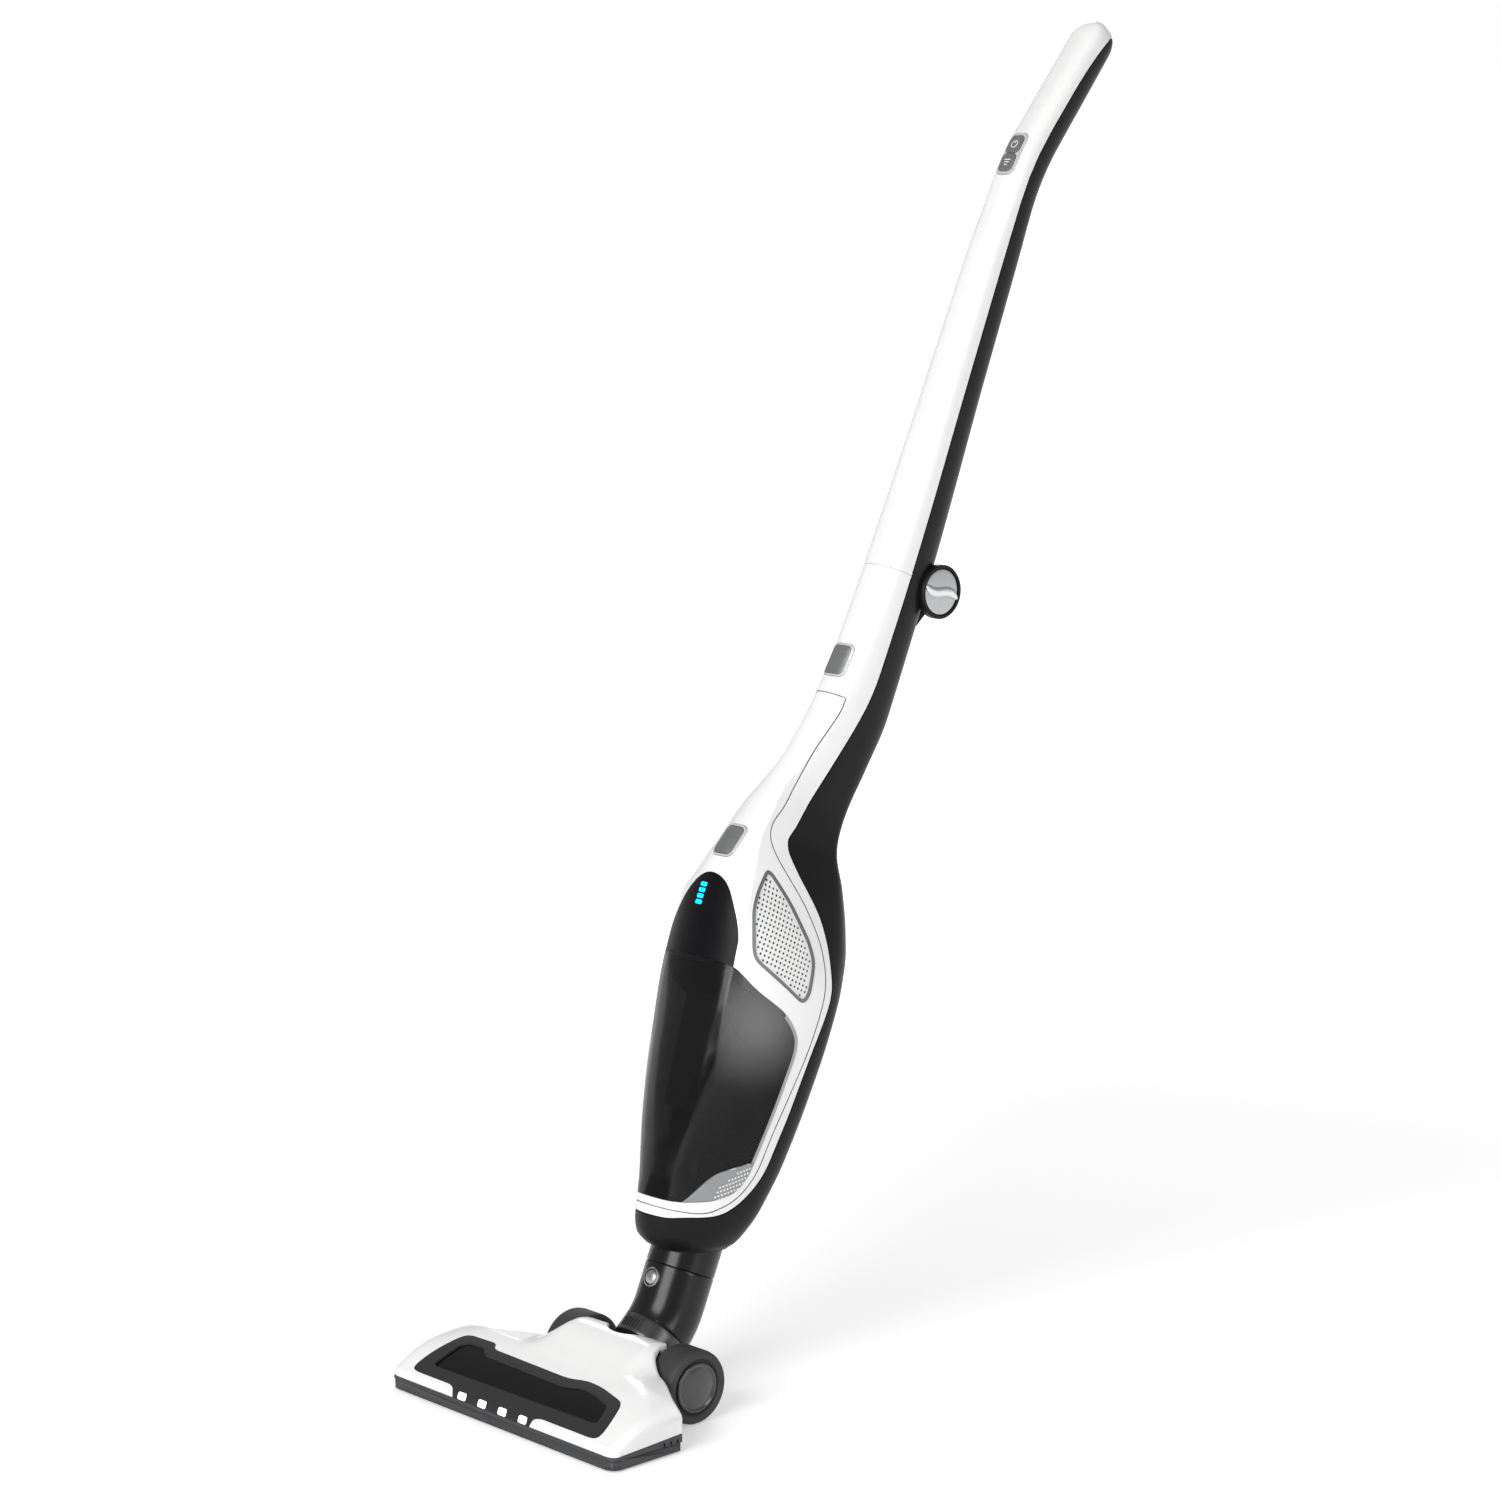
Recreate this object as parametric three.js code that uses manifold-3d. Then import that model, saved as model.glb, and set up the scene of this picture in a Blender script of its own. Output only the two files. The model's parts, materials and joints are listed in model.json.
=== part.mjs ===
// Cordless stick vacuum: a powered floor head, an elbow neck, a main body that
// carries a lift-out hand unit with its dust cup, and a folding upper handle.
// Millimetres, +Z up, front towards -Y. Built as a graph of closed solids.
import * as THREE from 'three';
import { mergeVertices } from 'three/addons/utils/BufferGeometryUtils.js';
import Module from 'manifold-3d';

const wasm = await Module();
wasm.setup();

// ---------------------------------------------------------------- dimensions
const gap = 0.3;                 // clearance between pieces that touch
const bodyWall = 2.6;            // moulded wall of the main body and the handle
const unitWall = 2.4;            // wall of the hand unit
const cupWall = 2.2;             // wall of the dust cup

// stance: the stick leans back over the floor head
const stickLean = THREE.MathUtils.degToRad(23.4);
const elbowBend = THREE.MathUtils.degToRad(24);
const stickOffset = 18;          // the stick stands this far right of the head's middle

// floor head
const headWidth = 258;
const headDepth = 66;            // brush box, front to back
const baseTop = 9;               // top of the dark base strip
const baseClear = 1.5;           // floor clearance of the base plate
const headWall = 2.4;
const ridgeHeight = 43;          // top edge of the brush box
const humpDepth = 114;           // rear edge of the hump between the wheels
const humpHeight = 58;
const lipHeight = 17.5;          // where the front lip turns into the slope
const lipDepth = 4;
const endRadius = 9;             // rounding of the brush box's two ends
const rearReach = 45;            // the rear of the top falls away from this far inside each end
const rearFall = 0.28;           // share of its height that the rear loses at the very end

// wheels and tilt hinge
const wheelRadius = 28;
const wheelInner = 46;           // inner face of a wheel, from the stick's plane
const wheelWidth = 27;
const wheelBore = 4;
const capRadius = 19;
const capRecess = 3;
const axleRadius = wheelBore - gap;
const hingeDepth = 115.5;        // wheel and hinge axis, behind the front edge

// brush roll and its drive
const brushDepth = headDepth * 5 / 11;
const brushHeight = 14.5;
const brushCore = 8;
const brushTip = 12.6;
const brushMouthHalf = headWidth / 2 - 16.5;
const brushHalf = brushMouthHalf - 4;
const shaftRadius = 2.5;
const motorDepth = brushDepth + 24;
const motorHeight = 22;
const motorRadius = 8.4;
const motorLength = 58;
const beltWidth = 5;
const beltThick = 1.4;
const brushPulley = 6.5;
const motorPulley = 4;

// neck
const neckRadius = 26.4;
const neckDepth = -3;          // the neck's axis, from the stick's own
const neckSeam = 17;             // socket and elbow tube meet this far below the bowl
const neckStraight = 43.6;        // straight stretch below the bowl
const elbowRadius = 60;
const collarReach = 30;          // hinge axis to the elbow's lower seam, with the collar
const collarLength = 15;
const spigotRadius = 20;
const spigotWall = 2.2;
const spigotTop = 20;
const knuckleRadius = 14;
const knuckleHalf = 20;

// stick, measured up its axis from the bottom of the bowl
const jointHeight = 536;         // seam between the main body and the folding handle
const wandLength = 305;          // straight stretch of the folding handle
const handleStraight = jointHeight + wandLength;
const bodyHalf = 58;             // half width of the body at its widest
const bodyFront = 92;            // the body's deepest front, from the stick's axis
const gripRadius = 215;
const gripBend = THREE.MathUtils.degToRad(16);
const gripLength = 107;          // straight grip above the bend
const bowlTilt = 0.33;           // slope of the bowl's foot: it is lower in front
const bowlPivot = 8.6;            // the foot's slope turns about a line this far in front of the axis
const bowlTiltFade = 45;         // the sections are square to the axis from this height
const seamDepth = -2.5;          // front and back shells of the tube meet here
const foldDepth = 31.2;          // fold hinge, behind the stick's axis
const foldDrop = 1.5;           // the fold hinge lies this far below the seam
const foldHeight = jointHeight - foldDrop;
const lugRadius = 13;
const lugHalf = 8;               // centre lug on the body
const lugWeb = 36;               // length of the web under the body's lug
const lugWebTop = 15;            // and of the webs above the handle's lugs
const lugOuter = 16;             // outer faces of the handle's two lugs
const boltRadius = 4;
const knobRadius = 21;
const knobThick = 8;
const knobFace = 24;

// ------------------------------------------------------------------- helpers
// A smooth curve through hand-set keys [at, value], flat at each turning point.
function keyed(keys) {
  const slopes = keys.map(([, value], i) => {
    if (i === 0 || i === keys.length - 1) return 0;
    const before = (value - keys[i - 1][1]) / (keys[i][0] - keys[i - 1][0]);
    const after = (keys[i + 1][1] - value) / (keys[i + 1][0] - keys[i][0]);
    return before * after <= 0 ? 0 : (2 * before * after) / (before + after);
  });
  return (at) => {
    const last = keys.length - 1;
    if (at <= keys[0][0]) return keys[0][1];
    if (at >= keys[last][0]) return keys[last][1];
    const i = keys.findIndex(([end]) => end > at) - 1;
    const span = keys[i + 1][0] - keys[i][0];
    const t = (at - keys[i][0]) / span;
    return (2 * t ** 3 - 3 * t ** 2 + 1) * keys[i][1] + (t ** 3 - 2 * t ** 2 + t) * span * slopes[i]
      + (3 * t ** 2 - 2 * t ** 3) * keys[i + 1][1] + (t ** 3 - t ** 2) * span * slopes[i + 1];
  };
}

const smooth = THREE.MathUtils.smoothstep;
const lerp = THREE.MathUtils.lerp;

// An even list of numbers from first to last.
function spread(first, last, steps) {
  return Array.from({ length: steps + 1 }, (_, i) => lerp(first, last, i / steps));
}

function toSolid(geometry) {
  const bare = geometry.clone();
  bare.deleteAttribute('normal');
  bare.deleteAttribute('uv');
  const merged = mergeVertices(bare, 1e-4);
  const index = merged.index.array;
  const position = merged.attributes.position.array;
  return new wasm.Manifold(new wasm.Mesh({
    numProp: 3, vertProperties: new Float32Array(position), triVerts: new Uint32Array(index),
  }));
}

// The plain three.js mesh of a solid, without the specks a boolean can leave behind.
function toGeometry(solid) {
  const bodies = solid.decompose().filter((body) => Math.abs(body.volume()) > 0.05);
  const mesh = wasm.Manifold.compose(bodies).getMesh();
  const geometry = new THREE.BufferGeometry();
  geometry.setAttribute('position', new THREE.BufferAttribute(new Float32Array(mesh.vertProperties), 3));
  geometry.setIndex(new THREE.BufferAttribute(new Uint32Array(mesh.triVerts), 1));
  return geometry;
}

// A closed solid through rings of points, with a fan over each end.
function loft(rings) {
  const count = rings[0].length;
  const points = rings.flat();
  const faces = [];
  for (let r = 0; r + 1 < rings.length; r += 1) {
    for (let i = 0; i < count; i += 1) {
      const a = r * count + i;
      const b = r * count + ((i + 1) % count);
      faces.push(a, b, a + count, b, b + count, a + count);
    }
  }
  [0, rings.length - 1].forEach((r, end) => {
    const middle = rings[r].reduce((sum, p) => sum.clone().add(p)).divideScalar(count);
    points.push(middle);
    for (let i = 0; i < count; i += 1) {
      const a = r * count + i;
      const b = r * count + ((i + 1) % count);
      faces.push(...(end ? [a, b, points.length - 1] : [b, a, points.length - 1]));
    }
  });
  const volume = faces.reduce((sum, _, k) => (k % 3 ? sum : sum
    + points[faces[k]].dot(new THREE.Vector3().crossVectors(points[faces[k + 1]], points[faces[k + 2]]))), 0);
  if (volume < 0) {
    for (let k = 0; k < faces.length; k += 3) [faces[k], faces[k + 1]] = [faces[k + 1], faces[k]];
  }
  const geometry = new THREE.BufferGeometry().setFromPoints(points);
  geometry.setIndex(faces);
  return toSolid(geometry);
}

function boxBetween(low, high) {
  const size = high.map((value, i) => value - low[i]);
  const box = new THREE.BoxGeometry(...size);
  box.translate(...high.map((value, i) => (value + low[i]) / 2));
  return toSolid(box);
}

// A round bar between two points, or a cone when the second radius differs.
function rod(from, to, radius, radiusTo = radius, sides = 24) {
  const a = new THREE.Vector3(...from);
  const b = new THREE.Vector3(...to);
  const bar = new THREE.CylinderGeometry(radiusTo, radius, a.distanceTo(b), sides);
  const turn = new THREE.Quaternion().setFromUnitVectors(
    new THREE.Vector3(0, 1, 0), b.clone().sub(a).normalize());
  bar.applyQuaternion(turn);
  bar.translate(...a.add(b).multiplyScalar(0.5).toArray());
  return toSolid(bar);
}

function tube(from, to, radius, bore, sides = 24) {
  const a = new THREE.Vector3(...from);
  const b = new THREE.Vector3(...to);
  const over = b.clone().sub(a).normalize();
  const low = a.clone().sub(over).toArray();
  const high = b.clone().add(over).toArray();
  return rod(from, to, radius, radius, sides).subtract(rod(low, high, bore, bore, sides));
}

// Extrudes an outline of [across, up] pairs; axes says where they and the depth point.
function prism(outline, from, to, axes) {
  const shape = new THREE.Shape(outline.map(([a, b]) => new THREE.Vector2(a, b)));
  const block = new THREE.ExtrudeGeometry(shape, { depth: to - from, bevelEnabled: false, steps: 1 });
  block.translate(0, 0, from);
  block.applyMatrix4(new THREE.Matrix4().makeBasis(...axes));
  return toSolid(block);
}

const axisX = new THREE.Vector3(1, 0, 0);
const axisY = new THREE.Vector3(0, 1, 0);
const axisZ = new THREE.Vector3(0, 0, 1);
// side view outlines [depth, height], cut straight across the width
const sideCut = (outline, from, to) => prism(outline, from, to, [axisY, axisZ, axisX]);
// plan outlines [x, y], cut straight up
const planCut = (outline, from, to) => prism(outline, from, to, [axisX, axisY, axisZ]);
// front view outlines [x, height], cut from the front (-Y) to the back
const frontCut = (outline, from, to) => prism(outline, -to, -from, [axisX, axisZ, axisY.clone().negate()]);

// A smooth open line through [a, b] points.
function smoothLine(points, steps) {
  return new THREE.SplineCurve(points.map(([a, b]) => new THREE.Vector2(a, b)))
    .getPoints(steps).map((p) => [p.x, p.y]);
}

// A rounded rectangle outline about a middle.
function roundedOutline(middleA, middleB, width, height, radius, steps = 3) {
  const outline = [];
  [[1, 1], [-1, 1], [-1, -1], [1, -1]].forEach(([sideA, sideB], corner) => {
    for (const step of spread(0, 1, steps)) {
      const angle = (corner + step) * Math.PI / 2;
      outline.push([
        middleA + sideA * (width / 2 - radius) + radius * Math.cos(angle),
        middleB + sideB * (height / 2 - radius) + radius * Math.sin(angle)]);
    }
  });
  return outline;
}

const finishes = {
  whiteGloss: [0xf2f2f1, 0.22, 0], blackSatin: [0x17181a, 0.38, 0], blackGloss: [0x0b0c0d, 0.12, 0],
  darkBase: [0x37383a, 0.55, 0], rubber: [0x3a3b3d, 0.7, 0], smoke: [0x1b1d20, 0.1, 0],
  silver: [0xb4b6b9, 0.28, 0.9], grey: [0x8d8f92, 0.45, 0], steel: [0xa9acb0, 0.3, 1],
  lens: [0xf6f8ff, 0.2, 0], blue: [0x1fa8ff, 0.3, 0], bristle: [0x2b2f36, 0.9, 0],
  board: [0x1f4a33, 0.6, 0], cell: [0x2d4f7c, 0.5, 0],
  belt: [0x161616, 0.8, 0], paper: [0xd8d6cd, 0.9, 0],
};

// Adds one named piece to a group.
function place(group, name, solid, finish) {
  const [color, roughness, metalness] = finishes[finish];
  const material = new THREE.MeshStandardMaterial({ color, roughness, metalness });
  const mesh = new THREE.Mesh(toGeometry(solid), material);
  mesh.name = name;
  group.add(mesh);
}

// ------------------------------------------------------ outer form of the stick
// Heights run up the stick from the bottom of the bowl; depths are negative in front. The
// tables and side view lines below are drawn for a stick of the sizes named here, and
// up, wide and deep carry them to the sizes in the list above.
const drawnJoint = 536;
const drawnWand = 305;
const tall = jointHeight / drawnJoint;
const wide = bodyHalf / 58;
const deep = bodyFront / 92;
const up = (height) => (height <= drawnJoint ? height * tall
  : jointHeight + (height - drawnJoint) * wandLength / drawnWand);
const table = (keys, share) => keyed(keys.map(([height, value]) => [up(height), value * share]));
const drawn = (line) => line.map(([depth, height]) => [depth * deep, up(height)]);
const halfWidth = table([[0, 27], [4, 31], [10, 34], [20, 37.2], [45, 43], [80, 49.5], [127, 55],
  [175, 57.5], [205, 56.5], [235, 51.5], [265, 43], [290, 34.5], [317, 23.5], [350, 19], [400, 18.2],
  [470, 19.5], [546, 20.3], [700, 17.5], [841, 15.6], [1100, 15.6]], wide);
const frontDepth = table([[0, 30], [4, 39], [10, 47], [18, 53], [45, 60], [88, 69], [142, 78], [205, 87.5],
  [255, 92], [282, 90], [303, 84], [334, 70], [385, 49], [430, 37], [475, 30], [546, 25], [600, 23.2],
  [700, 21.7], [800, 20], [841, 16.5], [1100, 15]], deep);
const backDepth = table([[0, 24], [4, 27], [10, 29.5], [20, 31.5], [45, 34.5], [80, 38.2], [235, 39], [263, 34], [290, 24],
  [325, 10], [351, 13.5], [385, 22], [430, 29.5], [546, 28], [600, 26.6], [700, 23.4], [800, 21.3],
  [841, 19.5], [1100, 17]], deep);
const widestDepth = table([[0, -3], [45, 3], [205, 5], [290, 0], [400, 0], [475, seamDepth], [1100, seamDepth]], deep);
const creaseHalf = table([[0, 16], [22, 16], [45, 19], [88, 27], [142, 35.5], [205, 38.5], [250, 37.5],
  [276, 31], [303, 22], [334, 17], [351, 14], [400, 11]], wide);
const creaseDepth = table([[0, 26], [10, 42], [22, 50], [45, 55.5], [88, 63], [142, 69], [205, 78], [250, 81],
  [276, 78], [303, 74], [334, 65], [351, 59], [400, 42]], deep);
const roundness = 2.7;           // exponent of the rounded-square sections
const creaseShare = 0.6;         // part of a front quarter that is side wall
const fineQuarter = [0, 0.15, 0.3, 0.45, 0.6, 0.75, 0.9, 1];
const coarseQuarter = [0, 0.3, 0.6, 0.8, 1];

// A point on the quarter section in front of the widest line, t from 0 (side) to 1.
function frontQuarter(height, inset, t) {
  const half = halfWidth(height) - inset;
  const middle = widestDepth(height);
  const front = frontDepth(height) - inset;
  const angle = t * Math.PI / 2;
  const round = [half * Math.cos(angle) ** (2 / roundness),
    middle - (front + middle) * Math.sin(angle) ** (2 / roundness)];
  const edge = [creaseHalf(height) - inset * 0.75, -(creaseDepth(height) - inset * 0.85)];
  let creased;
  if (t < creaseShare) {
    const v = t / creaseShare;
    const bow = -0.55 * creaseDepth(height);
    creased = [(1 - v * v) * half + v * v * edge[0],
      (1 - v) ** 2 * middle + 2 * v * (1 - v) * bow + v * v * edge[1]];
  } else {
    const v = 1 - (t - creaseShare) / (1 - creaseShare);
    creased = [edge[0] * v, -front + (front + edge[1]) * v * v];
  }
  const share = 1 - smooth(height, up(330), up(400));
  return [lerp(round[0], creased[0], share), lerp(round[1], creased[1], share)];
}

// The closed section [x, depth] at a height, inset by a wall.
function stickSection(height, inset, coarse) {
  const quarter = coarse ? coarseQuarter : fineQuarter;
  const right = quarter.map((t) => frontQuarter(height, inset, t));
  const left = quarter.slice(0, -1).reverse().map((t) => {
    const [x, depth] = frontQuarter(height, inset, t);
    return [-x, depth];
  });
  const half = halfWidth(height) - inset;
  const middle = widestDepth(height);
  const back = backDepth(height) - inset;
  const rear = spread(0, Math.PI, coarse ? 8 : 12).slice(1, -1).map((angle) => {
    const c = -Math.cos(angle);
    return [half * Math.sign(c) * Math.abs(c) ** (2 / roundness),
      middle + (back - middle) * Math.sin(angle) ** (2 / roundness)];
  });
  return [...right, ...left, ...rear];
}

// Centre and direction of the stick's own axis, which bends back in the grip.
function stickAxis(height) {
  if (height <= handleStraight) return { depth: 0, up: height, lean: 0 };
  const angle = Math.min((height - handleStraight) / gripRadius, gripBend);
  const beyond = height - handleStraight - angle * gripRadius;
  return {
    depth: gripRadius * (1 - Math.cos(angle)) + beyond * Math.sin(angle),
    up: handleStraight + gripRadius * Math.sin(angle) + beyond * Math.cos(angle),
    lean: angle,
  };
}

function stickRing(height, inset, coarse = false) {
  const { depth, up, lean } = stickAxis(height);
  const tilt = bowlTilt * (1 - smooth(height, 0, bowlTiltFade));
  return stickSection(height, inset, coarse).map(([x, d]) => new THREE.Vector3(
    x, depth + d * Math.cos(lean), up + (d + bowlPivot) * tilt - d * Math.sin(lean)));
}

const bodyHeights = [0, 4, 10, 18, 32, 58, 95, 142, 185, 218, 245, 270, 290, 306, 322, 340, 365, 400, 445,
  drawnJoint].map(up);
const gripEnd = handleStraight + gripBend * gripRadius + gripLength;
const handleHeights = [jointHeight + gap, up(620), up(700), up(780), handleStraight, handleStraight + 20,
  handleStraight + 40, handleStraight + 60, gripEnd - 50, gripEnd - 14, gripEnd - 5];

function bodyForm(inset, coarse = false) {
  return loft(bodyHeights.map((height, i) => stickRing(
    height + (i === 0 ? inset : 0) + (i === bodyHeights.length - 1 ? inset * 2 : 0), inset, coarse)));
}

function handleForm(inset, coarse = false) {
  const rings = handleHeights.map((height, i) => stickRing(height - (i === 0 ? inset * 2 : 0), inset, coarse));
  rings.push(stickRing(gripEnd - inset, inset + 5, coarse));
  return loft(rings);
}

// ------------------------------------------------- where the body's pieces meet
const reach = 130;               // past every piece, for cutting blocks
// Side view lines [depth, height]: the hand unit's back edge and the black shell's.
const unitLine = smoothLine(drawn([[-reach, 434], [-40, 430], [-27, 424], [-40, 384], [-55, 340], [-66, 316],
  [-58, 296], [-27, 266], [-7, 240], [3, 212], [3, 170], [-2, 106], [-3, 62], [-17, 36], [-45, 23.5],
  [-reach, 18.5]]), 48);
const shellLine = smoothLine(drawn([[seamDepth, 566], [seamDepth, 480], [-5, 432], [-20, 381],
  [-40, 328], [-48, 309], [-38, 291], [-11, 262], [6, 228], [11, 204], [7, 160], [6, 100], [4, 62],
  [-12, 33], [-39, 20], [-60, 14], [-reach, 6]]), 48);

// Moves a side view line square to itself, towards the front when amount is positive.
function offsetLine(line, amount) {
  return line.map(([depth, height], i) => {
    const [fromDepth, fromHeight] = line[Math.max(i - 1, 0)];
    const [toDepth, toHeight] = line[Math.min(i + 1, line.length - 1)];
    const length = Math.hypot(toDepth - fromDepth, toHeight - fromHeight);
    return [depth + amount * (toHeight - fromHeight) / length, height - amount * (toDepth - fromDepth) / length];
  });
}
const inFrontOf = (line) => [...line, [-reach * 2, line[line.length - 1][1]], [-reach * 2, line[0][1]]];
const behind = (line) => [...line, [-reach * 2, -40], [reach, -40], [reach, up(600)], [line[0][0], up(600)]];

// Side view outline of the dust cup: its top slopes down to the back.
const cupOutline = (grow) => drawn([[-reach, 208 + grow], [-79, 208 + grow], [-58, 196 + grow],
  [-27, 186 + grow], [-12 + grow, 174 + grow], [-8 + grow, 162], [-8 + grow, 62], [-13 + grow, 48],
  [-26 + grow / 2, 38 - grow], [-50, 28.5 - grow], [-reach, 24.5 - grow]]);

// The full band of the hand unit's visible skin, and the tongue it has inside the body.
const hollowInset = 5;           // leaves floors under the hand unit's display and vents
const tongueHalf = 11.2;
const tongueOutline = drawn([[-60, 262], [0, 262], [0, 352], [-10, 360], [-60, 360]]);
const tongueHollow = drawn([[-60, 240], [-4, 264.5], [-4, 350], [-12, 356], [-60, 356]]);
const unitHollow = drawn([[-100, 216], [-76, 216], [-52, 206], [-24, 198], [-14, 198], [-12, 212], [-20, 244],
  [-32, 268], [-66, 290], [-75, 316], [-100, 316]]);

// ---------------------------------------------------------------- main body
function buildBody(group) {
  const skin = bodyForm(0).subtract(bodyForm(bodyWall));
  const cradle = sideCut(behind(offsetLine(unitLine, -gap)), -reach, reach);
  const backSide = sideCut(behind(shellLine), -reach, reach);
  const frontSide = sideCut(behind(offsetLine(shellLine, gap)), -reach, reach);
  const neckHole = rod([0, neckDepth, -16], [0, neckDepth, 13], spigotRadius + 3 + gap);
  const lug = rod([-lugHalf, foldDepth, foldHeight], [lugHalf, foldDepth, foldHeight], lugRadius)
    .add(sideCut([[20, foldHeight - lugWeb], [27, foldHeight - lugWeb], [foldDepth + lugRadius, foldHeight],
      [20, foldHeight]], -lugHalf, lugHalf));
  const boltHole = rod([-40, foldDepth, foldHeight], [40, foldDepth, foldHeight], boltRadius + gap);
  const handleSweep = rod([-40, foldDepth, foldHeight], [-lugHalf - gap, foldDepth, foldHeight], lugRadius + 1)
    .add(rod([lugHalf + gap, foldDepth, foldHeight], [40, foldDepth, foldHeight], lugRadius + 1));
  const lugShell = lug.subtract(bodyForm(bodyWall - 0.4, true));
  place(group, 'body_back_shell', skin.intersect(backSide).add(lugShell).subtract(neckHole)
    .subtract(boltHole).subtract(handleSweep).subtract(knobSolid(gap)), 'blackSatin');

  const rim = skin.intersect(cradle).subtract(frontSide);
  place(group, 'body_front_frame', rim.subtract(releaseCut(gap)), 'whiteGloss');
  place(group, 'hand_unit_release_button', releaseButton(), 'silver');

  const bowlFoot = (depth) => (depth + bowlPivot) * bowlTilt - gap;
  const aboveFoot = sideCut([[-60, bowlFoot(-60)], [60, bowlFoot(60)], [60, 60], [-60, 60]], -40, 40);
  const socket = tube([0, neckDepth, -neckSeam], [0, neckDepth, 12], neckRadius, spigotRadius + gap, 28)
    .subtract(aboveFoot).add(tube([0, neckDepth, -2], [0, neckDepth, spigotTop + 4], spigotRadius + 3, spigotRadius + gap, 28));
  place(group, 'neck_socket', socket, 'blackGloss');
}

// The release button's pocket and cap lie on the front of the tube.
const releaseMiddle = up(457);
const releaseSize = [22, 27];
function releaseCut(grow) {
  const outline = roundedOutline(0, releaseMiddle, releaseSize[0] + 2 * grow, releaseSize[1] + 2 * grow, 5);
  return frontCut(outline, -60, -8);
}

function releaseButton() {
  return bodyForm(-0.8).subtract(bodyForm(bodyWall + 1.5)).intersect(releaseCut(0));
}

// ---------------------------------------------------------------- hand unit
const motorAxisDepth = -55 * deep;
const motorBody = 21;
const motorFloor = up(235.5);
const motorTop = motorFloor + 26.5;
const fanFloor = motorFloor - 14.5;
const fanDepth = 8;
const batteryFloor = up(286.5);
const batteryTop = up(348);
const batteryHalf = 8.2;
const ventOutline = (grow) => drawn([[-63, 284 + grow], [-44 + grow, 268 + grow], [-20 + grow, 243],
  [-12 + grow, 230], [-11 + grow, 204], [-16, 197 - grow], [-64 - grow, 216 - grow], [-68.5 - grow, 222],
  [-77.5 - grow, 253], [-75.5 - grow, 265], [-68, 284 + grow]]);
const ventAir = drawn([[-69, 262], [-52, 254], [-34, 234], [-32, 216], [-62, 226], [-70, 246]]);
const displayTop = up(271);
const displayArch = up(226);
const displayBottom = up(199);
const displayHalf = 38 * wide;
const displayTaper = 9;          // the panel narrows by this on each side towards its top
const lightMiddle = up(254);
const powerMiddle = up(298);
const powerSize = [22, 27];

function displayOutline(grow) {
  const arch = spread(0, Math.PI, 16).map((angle) => {
    const height = displayArch + (displayTop - displayArch + grow) * Math.sin(angle) ** 0.8;
    const taper = displayTaper * smooth(height, displayArch - 10, displayTop - 8);
    return [(displayHalf - taper + grow) * Math.cos(angle), height];
  });
  return [[displayHalf + grow, displayBottom], ...arch, [-displayHalf - grow, displayBottom]];
}

const powerOutline = (grow) => roundedOutline(0, powerMiddle, powerSize[0] + 2 * grow, powerSize[1] + 2 * grow, 6);

// Floors across the hand unit for the motor and the battery, with their air and cable holes.
function unitFloors() {
  return boxBetween([-reach, -reach, motorFloor - 3.5], [reach, reach, motorFloor])
    .add(boxBetween([-reach, -reach, batteryFloor - 2.5], [reach, reach, batteryFloor]))
    .subtract(rod([0, motorAxisDepth, motorFloor - 20], [0, motorAxisDepth, motorFloor + 20], 12))
    .subtract(boxBetween([-5, motorAxisDepth, batteryFloor - 15], [5, motorAxisDepth + 30, batteryFloor + 15]));
}

const onBothSides = (outline, from) => sideCut(outline, from, reach).add(sideCut(outline, -reach, -from));

function buildHandUnit(group) {
  const visible = bodyForm(0).intersect(sideCut(inFrontOf(unitLine), -reach, reach));
  const tongue = sideCut(tongueOutline, -tongueHalf, tongueHalf);
  const hollow = bodyForm(hollowInset, true).intersect(sideCut(unitHollow, -reach, reach))
    .add(sideCut(tongueHollow, -tongueHalf + unitWall, tongueHalf - unitWall)).subtract(unitFloors());
  const airHole = boxBetween([-20, motorAxisDepth - 7, up(170)], [20, motorAxisDepth + 21, up(225)]);
  const skin = bodyForm(0).subtract(bodyForm(unitWall));
  const pocket = bodyForm(-1).subtract(bodyForm(unitWall + gap));
  const displayBlock = frontCut(displayOutline(gap), -reach, -60);
  const inletHole = rod([0, -20, inletHeight], [0, 20, inletHeight], inletRadius + 1);
  const housing = visible.add(tongue).subtract(sideCut(cupOutline(gap), -reach, reach)).subtract(hollow)
    .subtract(airHole).subtract(pocket.intersect(onBothSides(ventOutline(gap), 20)))
    .subtract(onBothSides(ventAir, 27))
    .subtract(pocket.intersect(displayBlock)).subtract(frontCut(powerOutline(gap), -reach, -55))
    .subtract(inletHole);
  place(group, 'hand_unit_housing', housing, 'whiteGloss');

  const cover = skin.intersect(frontCut(displayOutline(0), -reach, -60))
    .subtract(sideCut(cupOutline(gap), -reach, reach));
  const bar = (grow) => frontCut(roundedOutline(-5, lightMiddle, 9 + 2 * grow, 24 + 2 * grow, 1, 1), -reach, -60);
  place(group, 'display_cover', cover.subtract(bar(gap)), 'blackGloss');
  place(group, 'level_light_bar', skin.intersect(bar(0)), 'blue');
  place(group, 'hand_unit_power_button', bodyForm(-0.8).subtract(bodyForm(unitWall + 1.2))
    .intersect(frontCut(powerOutline(0), -reach, -55)), 'silver');

  [['right', 20, reach], ['left', -reach, -20]].forEach(([side, from, to]) => {
    const plate = skin.intersect(sideCut(ventOutline(0), from, to));
    const opening = sideCut(ventOutline(-3), from, to);
    place(group, `vent_frame_${side}`, plate.subtract(opening), 'grey');
    place(group, `vent_grille_${side}`, skin.intersect(sideCut(ventOutline(-3 - gap), from, to)), 'whiteGloss');
  });
}

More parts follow.
